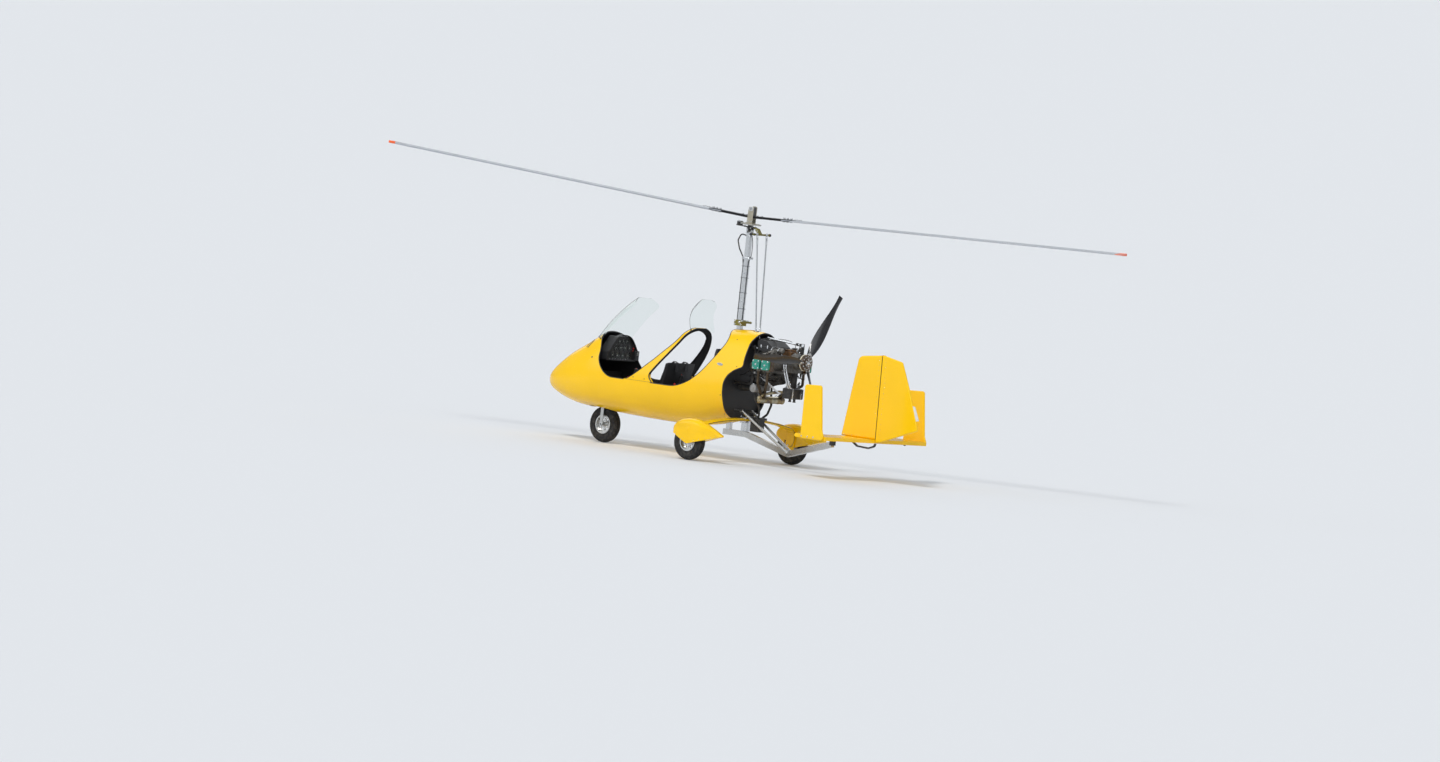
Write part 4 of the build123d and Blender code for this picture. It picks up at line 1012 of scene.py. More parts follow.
# Gauges: y, z, dial radius, numerals, pointer angle
GAUGES = (
    (0.150, 0.950, 0.036, 8, 40), (0.066, 0.950, 0.036, 10, 200), (-0.018, 0.950, 0.036, 6, 310),
    (-0.102, 0.950, 0.036, 8, 120),
    (0.105, 1.030, 0.034, 6, 250), (0.030, 1.030, 0.034, 8, 20), (-0.045, 1.030, 0.034, 10, 160),
    (-0.118, 1.028, 0.030, 4, 75),
    (0.056, 1.100, 0.026, 4, 330), (-0.006, 1.100, 0.026, 6, 95), (-0.066, 1.100, 0.026, 4, 210),
)
board = Kit("panel_board", SATIN)
face = [(-0.228, 0.900), (0.228, 0.900), (0.234, 0.980), (0.094, 1.140), (-0.094, 1.140), (-0.234, 0.980)]
board.prism([(-y, z) for y, z in face], (PANEL, 0, 0), (0, -1, 0), UP, 0.003, 0.001)
board.done()
bezels = Kit("gauge_bezels", BLACK)
dials = Kit("gauge_dials", HUB_BLACK)
marks = Kit("gauge_marks", WHITE)
glass = Kit("gauge_glass", CLEAR)
for y, z, r, count, pointer in GAUGES:
    at = Vector((PANEL, y, z))
    bezels.lathe(((r + 0.002, -0.001), (r + 0.0045, 0.002), (r + 0.004, 0.007), (r + 0.0005, 0.0085),
                  (r - 0.001, 0.006), (r - 0.001, 0.0012)),
                 at, AFT, 32, cap=False)
    dials.lathe(((r, 0.0002), (r, 0.0022)), at, AFT, 32)
    glass.lathe(((r - 0.0012, 0.0056), (r * 0.6, 0.0068), (0.0, 0.0073)), at, AFT, 32)
    for k in range(count * 2 + 1):
        t = radians(225 - 270 * k / (count * 2))
        way = Vector((0, -cos(t), sin(t)))
        long = 0.82 if k % 2 == 0 else 0.88
        lift = Vector((-0.0026, 0, 0))
        marks.tube([at + way * r * long + lift, at + way * r * 0.95 + lift], 0.0006, 4)
        if k % 2 == 0 and r > 0.03:
            marks.words(str(k // 2), at + way * r * 0.64 + Vector((-0.0024, 0, 0)), r * 0.26, (0, -1, 0),
                        UP)
    t = radians(pointer)
    way = Vector((0, -cos(t), sin(t)))
    lift = Vector((-0.0036, 0, 0))
    marks.tube([at - way * r * 0.18 + lift, at + way * r * 0.7 + lift], 0.0011, 5, r_end=0.0003)
    marks.lathe(((r * 0.12, 0.0022), (r * 0.1, 0.0042)), at, AFT, 12)
    for corner in circle(at, r + 0.0085, 4, pi / 4, "yz"):
        bezels.lathe(((0.0028, 0), (0.0026, 0.0014), (0.0012, 0.0017)), corner, AFT, 8)
bezels.done()
dials.done()
glass.done()
knobs = Kit("panel_switches", STEEL)
caps = Kit("panel_caps", RED)
for k in range(7):
    y = 0.19 - 0.042 * k
    knobs.lathe(((0.0075, 0), (0.0075, 0.002), (0.0045, 0.003), (0.0045, 0.006)), (PANEL, y, 0.9085), AFT,
                10)
    knobs.tube([(1.5925, y, 0.9085), (1.582, y, 0.9125)], 0.0018, 8, r_end=0.0027)
for y, z in ((-0.18, 1.002), (-0.18, 1.03)):
    caps.lathe(((0.009, 0), (0.009, 0.004), (0.0075, 0.0075)), (PANEL, y, z), AFT, 16)
knobs.done()
caps.done()
hood = Kit("panel_hood", BLACK)
rim_line = [Vector((1.594, y, z)) for y,
            z in ((-0.243, 0.985), (-0.098, 1.150), (0.098, 1.150), (0.243, 0.985))]
hood.strap(smooth(rim_line, 8), 0.05, 0.004,
           [Vector((0, p.y * 0.6, p.z - 0.85)) for p in smooth(rim_line, 8)])
hood.box((1.5545, -0.2385, 0.9045), (1.5605, -0.1775, 1.0055), 0.001)
hood.box((1.552, -0.230, 0.955), (1.556, -0.186, 0.998), 0.002)
hood.done()
for k in range(4):
    marks.box((1.5515, -0.226, 0.962 + 0.009 * k), (1.5525, -0.196 - 0.006 * (k % 2), 0.9645 + 0.009 * k),
              0)
marks.done()

grips = Kit("stick_grips", BLACK)
boots = Kit("stick_boots", BLACK)
buttons = Kit("stick_buttons", RED)
for x in (1.400, 0.760):
    low, high = Vector((x - 0.010, 0, 0.715)), Vector((x - 0.030, 0, 0.820))
    axis = (high - low).normalized()
    profile = [(0.0165, -0.004), (0.0205, 0.0)]
    for k in range(5):
        profile += [(0.0215, 0.010 + k * 0.018), (0.0188, 0.019 + k * 0.018)]
    profile += [(0.0225, 0.103), (0.0225, 0.112), (0.018, 0.118), (0.004, 0.120)]
    grips.lathe(profile, low, axis, 20)
    buttons.lathe(((0.0055, 0), (0.005, 0.004)), high + axis * 0.012 + Vector((-0.002, 0.006, 0)), axis, 12)
    floor_at, up_at = Vector((x + 0.006, 0, 0.372)), Vector((x + 0.036, 0, 0.505))
    way = (up_at - floor_at).normalized()
    bellows = []
    for k in range(7):
        bellows += [(0.052 - k * 0.0055, k * 0.019), (0.044 - k * 0.0052, k * 0.019 + 0.0095)]
    boots.lathe(bellows + [(0.0135, 0.138)], floor_at, way, 20)
grips.done()
boots.done()
buttons.done()
quadrant = Kit("throttle_quadrants", SATIN)
levers = Kit("throttle_levers", STEEL)
knob_black = Kit("throttle_knobs", BLACK)
knob_red = Kit("choke_knobs", RED)
for x in (1.180, 0.520):
    corners = [(x + dx, 0, z) for dx in (-0.075, 0.075) for z in (0.600, 0.655)]
    y = min(on(SKIN, at, (0, 1, 0))[0].y for at in corners) - 0.005
    quadrant.box((x - 0.075, y - 0.036, 0.600), (x + 0.075, y + 0.004, 0.655), 0.004)
    arc = [(x + 0.062 * cos(t), 0.655 + 0.030 * sin(t)) for t in [pi * k / 10 for k in range(11)]]
    for dy in (-0.033, -0.012):
        quadrant.prism(arc, (0, y + dy + 0.002, 0), FORE, UP, 0.004, 0.0008)
    for dy, lean, knob in ((-0.0265, -0.028, knob_black), (-0.0195, 0.016, knob_red)):
        levers.tube([(x, y + dy, 0.648), (x + lean, y + dy, 0.730)], 0.0026, 8)
        knob.lathe(((0.0045, -0.002), (0.0100, 0.004), (0.0112, 0.012), (0.0095, 0.020), (0.0040, 0.0245)),
                   (x + lean, y + dy, 0.728), (lean, 0, 0.082), 16)
for kit in (quadrant, levers, knob_black, knob_red):
    kit.done()
treads = Kit("pedal_treads", RUBBER)
for s in (1, -1):
    for k in range(6):
        z = 0.492 + 0.0172 * k
        treads.box((1.7725, s * 0.150 - 0.034, z - 0.0045), (1.7768, s * 0.150 + 0.034, z + 0.0045), 0.0014)
treads.done()


# Engine

# Cylinders: side and x
CYLINDERS = ((1, -0.560), (1, -0.685), (-1, -0.588), (-1, -0.713))
cover = Kit("cover_ribs", GREEN)
bolts = Kit("engine_bolts", STEEL)
dark = Kit("engine_black_fittings", SATIN)
leads = Kit("ignition_leads", HOSE)
alloy = Kit("engine_castings", ALLOY)
for s, x in CYLINDERS:
    for z in (1.050, 1.075, 1.100):
        cover.box((x - 0.036, s * 0.347 - 0.003, z - 0.0035), (x + 0.036, s * 0.347 + 0.003, z + 0.0035),
                  0.0015)
    for dx, dz in ((-0.036, -0.038), (0.036, -0.038), (-0.036, 0.037), (0.036, 0.037)):
        bolts.bolt((x + dx, s * 0.345, 1.075 + dz), (0, s, 0), 0.0052)
    bolts.lathe(((0.011, 0), (0.011, 0.004), (0.008, 0.007)), (x, s * 0.345, 1.075), (0, s, 0), 18)
    for k in range(5):
        y = s * (0.258 + 0.011 * k)
        alloy.box((x - 0.0575, y - 0.0016, 1.0205), (x + 0.0575, y + 0.0016, 1.1285), 0.0006)
    for dz, up in ((1.132, 1), (1.018, -1)):
        foot = Vector((x + 0.030, s * 0.268, dz))
        way = Vector((0.12, s * 0.25, up)).normalized()
        bolts.lathe(((0.0095, -0.003), (0.0095, 0.008)), foot, way, 6)
        dark.lathe(((0.0085, 0.006), (0.0105, 0.012), (0.0105, 0.036), (0.0080, 0.044), (0.0055, 0.052)),
                   foot, way, 14)
        tip = foot + way * 0.05
        if up > 0:
            end = Vector((-0.700 - 0.018 * (x < -0.64), s * 0.045, 1.2445))
            way_points = [tip, tip + Vector((-0.01, s * 0.015, 0.035)), Vector((x + 0.02, s * 0.24, 1.205)),
                          Vector((-0.66, s * 0.105, 1.262)), end + Vector((0, s * 0.012, 0.012)), end]
        else:
            end = Vector((-0.760, s * 0.0955, 0.996 + 0.012 * (x < -0.64)))
            way_points = [tip, tip + Vector((-0.01, s * 0.02, -0.03)), Vector((x - 0.04, s * 0.255, 0.962)),
                          Vector((-0.750, s * 0.190, 0.962)), end + Vector((0.002, s * 0.03, -0.012)), end]
        leads.pipe(way_points, 0.0038, 8)
    for at in circle((x, s * 0.0955, 1.080), 0.064, 4, pi / 4, "xz"):
        bolts.bolt(at, (0, s, 0), 0.006, nut=True)
    pipe_at = Vector((x, s * 0.280, 1.018))
    alloy.lathe(((0.024, -0.001), (0.024, -0.010), (0.019, -0.014)), pipe_at, UP, 20)
    for a in (0.3, 2.4, 4.5):
        around = Vector((0.019 * cos(a), 0.019 * sin(a), -0.010))
        bolts.bolt(pipe_at + around, (0, 0, -1), 0.0038, washer=False)
cover.done()

# Ignition modules over the crankcase, their coils and the harness
modules = Kit("ignition_modules", BRONZE)
modules.box((-0.790, -0.056, 1.181), (-0.672, 0.056, 1.240), 0.004)
for s in (1, -1):
    for dx in (0.0, -0.050):
        modules.box((-0.722 + dx, s * 0.034 - 0.017, 1.240), (-0.682 + dx, s * 0.034 + 0.017, 1.262), 0.003)
    for dx in (0.010, 0.108):
        bolts.bolt((-0.790 + dx, s * 0.050, 1.240), UP, 0.004)
modules.done()
harness = Kit("engine_wiring", HOSE)
for s in (1, -1):
    harness.tube(smooth([(-0.672, s * 0.030, 1.200), (-0.630, s * 0.075, 1.206), (-0.560, s * 0.120, 1.196),
                         (-0.450, s * 0.142, 1.190), (-0.386, s * 0.146, 1.160),
                         (-0.350, s * 0.130, 1.050), (-0.250, s * 0.100, 0.960),
                         (-0.137, s * 0.080, 0.920)], 6), 0.0055, 8)
    harness.pipe([(-0.390, s * 0.146, 0.900), (-0.420, s * 0.160, 0.940), (-0.500, s * 0.110, 0.965),
                  (-0.560, s * 0.098, 0.985)], 0.004, 8)
for k in range(3):
    y = -0.03 + 0.03 * k
    harness.pipe([(-0.455, y, 0.985), (-0.420, y * 1.6, 0.930), (-0.385, y * 2 + 0.02, 0.870),
                  (-0.300, y * 1.4, 0.800), (-0.137, y, 0.760)], 0.004, 8)
harness.done()

# Carburettors: domes, bowls, levers, cables and hose clips
clips = Kit("hose_clips", STEEL)
for s in (1, -1):
    x, y, z = -0.665, s * 0.155, 1.240
    dark.lathe(((0.0335, 0.018), (0.0345, 0.022), (0.0345, 0.030), (0.026, 0.036), (0.010, 0.038)),
               (x, y, z), UP, 24)
    alloy.lathe(((0.026, -0.096), (0.0345, -0.090), (0.0345, -0.050), (0.031, -0.046)), (x, y, z), UP, 24)
    for at in circle((x, y, z), 0.028, 4, pi / 4):
        bolts.lathe(((0.004, 0.029), (0.004, 0.034)), at, UP, 8)
    arm = [(x, y + s * 0.030, z), (x, y + s * 0.044, z), (x - 0.004, y + s * 0.044, z - 0.026)]
    bolts.tube(arm, 0.003, 8)
    dark.pipe([(x, y, z + 0.036), (x + 0.004, y, z + 0.062), (x + 0.05, y * 0.9, z + 0.098),
               (x + 0.16, y * 0.75, z + 0.110), (-0.395, s * 0.090, 1.338)], 0.0032, 8)
    r = 0.029
    for dx in (0.040, -0.050):
        clips.band(r, r + 0.0012, 0.005, (x + dx, y, z), FORE)
        clips.box((x + dx - 0.005, y + s * (r - 0.001), z - 0.006),
                  (x + dx + 0.005, y + s * (r + 0.008), z + 0.006), 0.001)
    alloy.lathe(((0.0275, 0.0), (0.030, -0.004), (0.030, -0.030), (0.022, -0.042), (0.014, -0.046)),
                (x - 0.060, y, z), FORE, 24)

# Box of the air intake: lid seam, ribs, clips
dark.tube([(-0.404, -0.1515, 1.262), (-0.404, 0.1515, 1.262)], 0.0028, 6)
for s in (1, -1):
    dark.tube([(-0.404, s * 0.1515, 1.262), (-0.606, s * 0.1515, 1.262)], 0.0028, 6)
    for x in (-0.45, -0.54):
        bolts.box((x - 0.008, s * 0.150, 1.246), (x + 0.008, s * 0.1545, 1.278), 0.0015)
dark.tube([(-0.611, -0.1515, 1.262), (-0.611, 0.1515, 1.262)], 0.0028, 6)
for k in range(4):
    x = -0.420 - 0.026 * k
    z = 1.3335 - 0.0029 * k
    dark.box((x - 0.003, -0.135, z - 0.002), (x + 0.003, 0.135, z + 0.004), 0.0015)

# Exhaust: clamps, tail pipes and springs, and the muffler's straps and grommets
heat = Kit("exhaust_bands", HEAT)
for y in (-0.188, -0.12, 0.12, 0.188):
    heat.lathe(((0.0375, -0.004), (0.0405, -0.003), (0.0405, 0.003), (0.0375, 0.004)), (-0.530, y, 0.702),
               (0, 1, 0), 28, cap=False)
for s in (1, -1):
    heat.lathe(((0.038, 0), (0.030, 0.006), (0.012, 0.008)), (-0.530, s * 0.190, 0.702), (0, s, 0), 28)
    heat.pipe([(-0.530, s * 0.150, 0.740), (-0.600, s * 0.150, 0.770), (-0.700, s * 0.105, 0.800),
               (-0.766, s * 0.080, 0.805)], 0.017, 14)
    for k in range(2):
        coil = []
        for t in range(40):
            x, z = -0.513 + 0.030 * k + 0.004 * cos(t * 0.9), 0.738 + 0.004 * sin(t * 0.9) + 0.0006 * t
            coil.append((x, s * (0.124 + 0.001 * t), z))
        bolts.tube(coil, 0.0011, 5)
heat.done()
for y in (-0.070, 0.070):
    bolts.box((-0.886, y - 0.009, 0.744), (-0.764, y + 0.009, 0.8575), 0.002)
    bolts.bolt((-0.886, y, 0.800), AFT, 0.005)
for dx in (-0.795, -0.855):
    grommet = ((0.014, -0.001), (0.017, -0.001), (0.017, -0.012), (0.0125, -0.012), (0.0125, -0.002))
    dark.lathe(grommet, (dx, 0, 0.722), UP, 20, cap=False)

# Oil filter: hexagon and seam; the steel brackets beside the muffler
FILTER_END = (-0.440, 0.205, 0.812)
filt = Kit("filter_cap", FILTER)
filt.lathe(((0.0425, -0.012), (0.0432, -0.009), (0.0425, -0.006)), FILTER_END, (0, 1, 0), 30, cap=False)
filt.lathe(((0.016, 0), (0.016, 0.010), (0.013, 0.013)), FILTER_END, (0, 1, 0), 6)
filt.lathe(((0.040, 0.0), (0.034, 0.004), (0.018, 0.005)), FILTER_END, (0, 1, 0), 30)
filt.done()
bracket = Kit("muffler_brackets", STEEL)
for s in (1, -1):
    bracket.prism([(-0.850, 0.858), (-0.775, 0.858), (-0.835, 0.935)], (0, s * 0.079 + 0.002, 0), FORE, UP,
                  0.004, 0.0008)
    bracket.bolt((-0.835, s * 0.083, 0.918), (0, s, 0), 0.006)
bracket.done()

# Underside of the engine: sump, regulators and the two cooling ducts; the sump and regulators are a darkened
# alloy that stands for the shadow under the engine, as painted shade
sump = Kit("engine_sump", ALLOY_PAINTED_SHADE)
sump.box((-0.760, -0.072, 0.930), (-0.515, 0.072, 0.9865), 0.006)
for k in range(7):
    x = -0.742 + 0.034 * k
    sump.box((x - 0.003, -0.078, 0.924), (x + 0.003, 0.078, 0.960), 0.0015)
sump.lathe(((0.040, 0.0), (0.046, -0.006), (0.046, -0.040), (0.030, -0.052)), (-0.480, 0, 0.9865), UP, 28)
for s in (1, -1):
    sump.lathe(((0.030, 0.0), (0.034, 0.004), (0.034, 0.052), (0.026, 0.060)), (-0.620, s * 0.060, 0.955),
               (0, s, 0), 24)
    sump.box((-0.735, s * 0.110 - 0.016, 0.900), (-0.655, s * 0.110 + 0.016, 0.975), 0.003)
    for k in range(6):
        x = -0.728 + 0.0132 * k
        sump.box((x - 0.002, s * 0.126 - 0.002, 0.903), (x + 0.002, s * 0.126 + 0.008, 0.972), 0.0008)
    sump.box((-0.730, s * 0.082 - 0.016, 0.940), (-0.700, s * 0.082 + 0.022, 0.965), 0.002)
sump.done()
ducts = Kit("cooling_ducts", HOSE, angle=70.0)
for s in (1, -1):
    route = smooth([(-0.137, s * 0.060, 0.800), (-0.26, s * 0.066, 0.806), (-0.40, s * 0.078, 0.842),
                    (-0.53, s * 0.080, 0.888), (-0.62, s * 0.066, 0.905), (-0.66, s * 0.050, 0.9255)], 9)
    ducts.tube(route, 0.0225, 14)
    for i in range(len(route) - 1):
        ducts.lathe(((0.0225, -0.004), (0.0262, -0.0012), (0.0262, 0.0012), (0.0225, 0.004)),
                    (route[i] + route[i + 1]) / 2, route[i + 1] - route[i], 16, cap=False)
ducts.done()

# Gearbox bolts, propeller flange, engine mount bolts and rubbers
for k in range(10):
    t = 2 * pi * k / 10 + 0.3
    if abs(sin(t)) > 0.25 or cos(t) > 0:
        bolts.bolt((-0.9055, 0.073 * cos(t), SHAFT + 0.073 * sin(t)), AFT, 0.005)
alloy.lathe(((0.0855, -0.008), (0.0875, -0.004), (0.0875, 0.004), (0.0855, 0.008)), (-0.852, 0, SHAFT),
            FORE, 40, cap=False)
for s in (1, -1):
    for z in (0.853, 1.237):
        bolts.bolt((-0.388, s * 0.137, z), AFT, 0.010, nut=True)
        dark.lathe(((0.022, 0.0), (0.024, 0.004), (0.024, 0.012), (0.022, 0.016)), (-0.362, s * 0.137, z),
                   FORE, 20)
        bolts.bolt((-0.1240, s * 0.137, z), AFT, 0.008)
        dark.lathe(((0.026, 0.0), (0.026, 0.005)), (-0.129, s * 0.137, z), FORE, 20)
    for z in (0.875, 1.212):
        bolts.bolt((-0.3865, s * 0.060, z + 0.013 * (1 if z > 1 else -1)), AFT, 0.006)
for at in circle((-0.386, 0, 1.080), 0.070, 8, plane="yz"):
    bolts.bolt(at, AFT, 0.0045, washer=False)

# Breather pipes from the crankcase to the muffler, and the braided oil line
pipes = Kit("breather_pipes", STEEL)
for x0, x1 in ((-0.752, -0.842), (-0.783, -0.872)):
    route = [(x0, 0.0965, 1.122), (x0 - 0.006, 0.118, 1.108), (x0 - 0.030, 0.128, 1.030),
             (x1 + 0.012, 0.128, 0.915),
             (x1 + 0.002, 0.112, 0.872), (x1, 0.098, 0.857)]
    pipes.pipe(route, 0.0098, 12)
    pipes.lathe(((0.0145, 0), (0.0145, 0.006), (0.0115, 0.009)), (x0, 0.0945, 1.1235), (0, 0.8, -0.5), 16)
    pipes.lathe(((0.0145, -0.001), (0.0145, 0.005), (0.0115, 0.008)), (x1, 0.0975, 0.856), UP, 16)
pipes.done()
braid = Kit("braided_line", BRAID)
route = [(-0.384, 0.142, 0.973), (-0.440, 0.184, 0.9785), (-0.500, 0.1955, 0.965), (-0.560, 0.1905, 0.925),
         (-0.624, 0.1785, 0.884), (-0.690, 0.159, 0.834),
         (-0.745, 0.138, 0.7955), (-0.762, 0.1245, 0.790)]
braid.pipe(route, 0.0098, 14)
for at, way in (((-0.384, 0.142, 0.973), (-0.75, 0.62, 0.05)),
                ((-0.762, 0.1245, 0.790), (0.8, 0.55, 0.15))):
    braid.lathe(((0.0125, 0), (0.0125, 0.014), (0.0100, 0.018)), at, way, 6)
braid.done()

# Strut over the engine: end fittings and the black plates on its bracket
for s in (1, -1):
    dark.box((-0.8975, s * 0.0265 - 0.0012, 1.226), (-0.8665, s * 0.0265 + 0.0012, 1.338), 0.0008)
for x in (-0.8972, -0.8668):
    dark.box((x - 0.0012, -0.0265, 1.226), (x + 0.0012, 0.0265, 1.306), 0.0008)
dark.box((-0.8975, -0.0265, 1.3352), (-0.8665, 0.0265, 1.3378), 0.0008)
for x, z, way in ((-0.404, 1.3525, UP), (-0.868, 1.3215, FORE)):
    bolts.bolt((x, 0.0, z), way, 0.006)
for s in (1, -1):
    bolts.bolt((-0.882, s * 0.0277, 1.300), (0, s, 0), 0.007, nut=True)
    bolts.bolt((-0.882, s * 0.0277, 1.240), (0, s, 0), 0.006)
dark.lathe(((0.0125, 0.0), (0.015, 0.004), (0.015, 0.030), (0.0125, 0.034)), (-0.838, 0, 1.3233),
           (1, 0, 0.068), 16)

# Hose clips at the ends of the hoses
for s in (1, -1):
    clips.band(0.0132, 0.0148, 0.005, (-0.486, s * 0.2812, 1.0822), (-0.97, s * 0.12, 0.2), 20)
    clips.band(0.0132, 0.0148, 0.005, (-0.391, s * 0.173, 0.983), (-0.25, s * 0.78, 0.55), 20)
clips.done()
bolts.done()
dark.done()
leads.done()
alloy.done()


# Mast, rotor head and rotor

fixings = Kit("mast_fixings", STEEL)
straps = Kit("mast_straps", BLACK)
for s in (1, -1):
    for x in (-0.041, 0.041):
        for z in (1.4525, 1.4875):
            fixings.bolt((x, s * 0.040, z), (0, s, 0), 0.0055)
    fixings.bolt((-0.066, s * 0.095, 1.480), (0, s, 0), 0.009, nut=True)
    for x, z in ((0.0, 1.700), (0.0, 2.000), (0.0, 2.395)):
        fixings.bolt((x, s * 0.020, z), (0, s, 0), 0.006)
    fixings.lathe(((0.010, 0), (0.010, 0.010)), (-0.066, s * 0.048, 1.4915), UP, 6)
for z in (1.62, 1.79, 1.95, 2.075):
    loop = [(0.0535, -0.010, z), (0.0535, 0.010, z), (0.0315, 0.0215, z), (-0.0315, 0.0215, z),
            (-0.0315, -0.0215, z), (0.0315, -0.0215, z)]
    straps.tube(loop, 0.0022, 6, True)
straps.tube(smooth([(-0.0345, 0.010, 1.505), (-0.0355, 0.010, 1.7), (-0.0345, 0.010, 1.95),
                    (-0.0350, 0.008, 2.12), (-0.060, 0.006, 2.20),
                    (-0.058, 0.004, 2.33), (-0.036, 0.0, 2.400)], 8), 0.0036, 8)
for s in (1, -1):
    for x in (-0.046, 0.034):
        fixings.bolt((x, s * 0.030, 2.160), (0, s, 0), 0.006, nut=True)
    fixings.box((-0.0565, s * 0.0302 - 0.0012, 2.1475), (0.0445, s * 0.0302 + 0.0012, 2.1725), 0.0004)
for x in (-0.0562, 0.0442):
    fixings.box((x - 0.0012, -0.030, 2.1475), (x + 0.0012, 0.030, 2.1725), 0.0004)
fixings.done()
straps.done()

GIMBAL = Vector((0, 0, 2.468))
HEAD = Matrix.Translation(GIMBAL) @ Matrix.Rotation(radians(-2.1), 4, "Y") @ Matrix.Translation(-GIMBAL)
ROTOR_PLACE = HEAD @ Matrix.Rotation(radians(20), 4, "Z")
pins = Kit("gimbal_nuts", STEEL, "gimbal")
for s in (1, -1):
    pins.bolt((s * 0.038, 0, 2.446), (s, 0, 0), 0.009, h=0.007)
    pins.bolt((0, s * 0.046, 2.468), (0, s, 0), 0.009, h=0.007)
pins.done()
lugs = Kit("head_fixings", STEEL, "head", HEAD)
for x in (-0.046, 0.048):
    for s in (1, -1):
        lugs.bolt((x, s * 0.027, 2.498), UP, 0.0055, h=0.005)
for x in (0.080, 0.112):
    lugs.bolt((x, 0, 2.498), UP, 0.005, h=0.005)
    lugs.bolt((-x - 0.004, 0.016, 2.4745 - 0.012 * (x > 0.1)), (0, 1, 0), 0.0055)
lugs.lathe(((0.0335, 0.036), (0.034, 0.042), (0.030, 0.0455), (0.012, 0.047)), (0.150, 0, 2.498), UP, 28)
for at in circle((0.150, 0, 2.5425), 0.024, 6):
    lugs.bolt(at, UP, 0.003, washer=False)
lugs.done()
caps = Kit("lever_ends", BLACK, "head", HEAD)
for s in (1, -1):
    caps.lathe(((0.011, -0.002), (0.0155, 0.0), (0.0155, 0.014), (0.011, 0.018), (0.004, 0.019)),
               (-0.150, s * 0.148, 2.430), (0, s, 0), 20)
    caps.lathe(((0.0102, 0), (0.0135, 0.001), (0.0135, 0.009), (0.0102, 0.010)), (-0.150, s * 0.094, 2.430),
               (0, s, 0), 20, cap=False)
caps.done()
for s, body in ((1, "left_rod"), (-1, "right_rod")):
    ends = Kit(body + "_ends", STEEL, body)
    foot, top = Vector((-0.262, s * 0.030, 1.330)), Vector((-0.172, s * 0.080, 2.430))
    along = (top - foot).normalized()
    for base, way in ((foot, along), (top, -along)):
        ends.lathe(((0.0095, 0.022), (0.0125, 0.026), (0.0125, 0.040), (0.0095, 0.044)), base, way, 6,
                   cap=False)
        ends.lathe(((0.0090, 0.046), (0.0108, 0.048), (0.0108, 0.105), (0.0086, 0.110)), base, way, 16,
                   cap=False)
    ends.lathe(((0.0135, -0.006), (0.0150, -0.004), (0.0150, 0.004), (0.0135, 0.006)), top, FORE, 20,
               cap=False)
    ends.done()

turning = Kit("ring_gear_teeth", STEEL, "rotor_head", ROTOR_PLACE)
for k in range(90):
    t = 2 * pi * k / 90
    turn = Matrix.Rotation(t, 4, "Z")
    at = Vector((0.1095 * cos(t), 0.1095 * sin(t), 2.523))
    turning.box(at - Vector((0.0025, 0.0016, 0.0055)), at + Vector((0.0025, 0.0016, 0.0055)), 0, turn)
collars = Kit("teeter_collars", TAB, "rotor_head", ROTOR_PLACE)
for s in (1, -1):
    collars.lathe(((0.0265, -0.0005), (0.0265, 0.0055), (0.0235, 0.0078), (0.0140, 0.0078)),
                  (0, s * 0.0565, TEETER), (0, s, 0), 32)
    turning.bolt((0, s * 0.064, TEETER), (0, s, 0), 0.013, nut=s > 0)
    for x in (-0.018, 0.018):
        turning.bolt((x, s * 0.056, 2.553), (0, s, 0), 0.005)
for at in circle((0, 0, 2.529), 0.085, 6, pi / 6):
    turning.bolt(at, UP, 0.005)
turning.done()
collars.done()

CONE = radians(2.86)


def on_blade(s, r, y):
    """A place on a blade's middle plane, and that plane's upward normal."""
    return Vector((s * r, y, HUB.z + r * tan(CONE))), Vector((-s * sin(CONE), 0, cos(CONE)))


hub = Kit("blade_root_bolts", STEEL, "rotor", ROTOR_PLACE)
for s in (1, -1):
    for r in (0.366, 0.406, 0.446):
        for y in (-0.022, 0.022):
            at, tilt = on_blade(s, r, y)
            hub.bolt(at + tilt * 0.012, tilt, 0.0075, nut=True)
            hub.bolt(at - tilt * 0.012, -tilt, 0.0075)
    for r in (0.060, 0.110):
        for y in (-0.024, 0.024):
            at, tilt = on_blade(s, r, y)
            hub.bolt(at + tilt * 0.012, tilt, 0.006)
ring = ((0.013, -0.0405), (0.020, -0.0405), (0.020, -0.0425), (0.013, -0.0425))
hub.lathe(ring, (0, 0, TEETER), (0, 1, 0), 24, cap=False)
hub.done()
roots = Kit("blade_root_plates", HUB_BLACK, "rotor", ROTOR_PLACE)
for s in (1, -1):
    for r in (0.500, 0.545):
        for y in (-0.03, 0.03):
            at, tilt = on_blade(s, r, y * s)
            roots.bolt(at + tilt * 0.0138, tilt, 0.005)
roots.done()


# Propeller

prop = Kit("propeller_bolts", STEEL, "propeller")
for at in circle((-0.9930, 0, SHAFT), 0.036, 6, 0.4, "yz"):
    prop.bolt(at, AFT, 0.0065, nut=True)
for at in circle((-0.9810, 0, SHAFT), 0.068, 12, plane="yz"):
    prop.bolt(at, AFT, 0.005)
prop.lathe(((0.0215, 0), (0.0215, 0.004), (0.014, 0.006), (0.006, 0.0065)), (-0.993, 0, SHAFT), AFT, 24)
prop.done()
seams = Kit("propeller_hub_seams", BLACK, "propeller")
seams.band(0.0862, 0.0866, 0.0012, (-0.958, 0, SHAFT), FORE, 48)
seams.done()
ring = Kit("propeller_hub_ring", CREAM, "propeller")
ring.lathe(((0.0858, 0.0), (0.0885, 0.0015), (0.0885, 0.0125), (0.0858, 0.014)), (-0.954, 0, SHAFT), FORE,
           56, cap=False)
ring.done()
ferrules = Kit("propeller_ferrules", RIM, "propeller")
for k in range(3):
    t = radians(57 + 120 * k)
    way = Vector((0, -cos(t), sin(t)))
    ferrules.lathe(((0.0215, 0.082), (0.0255, 0.084), (0.0255, 0.096), (0.0235, 0.099), (0.0235, 0.108),
                    (0.0205, 0.111)), (-0.958, 0, SHAFT), way, 24, cap=False)
ferrules.done()


# Gear

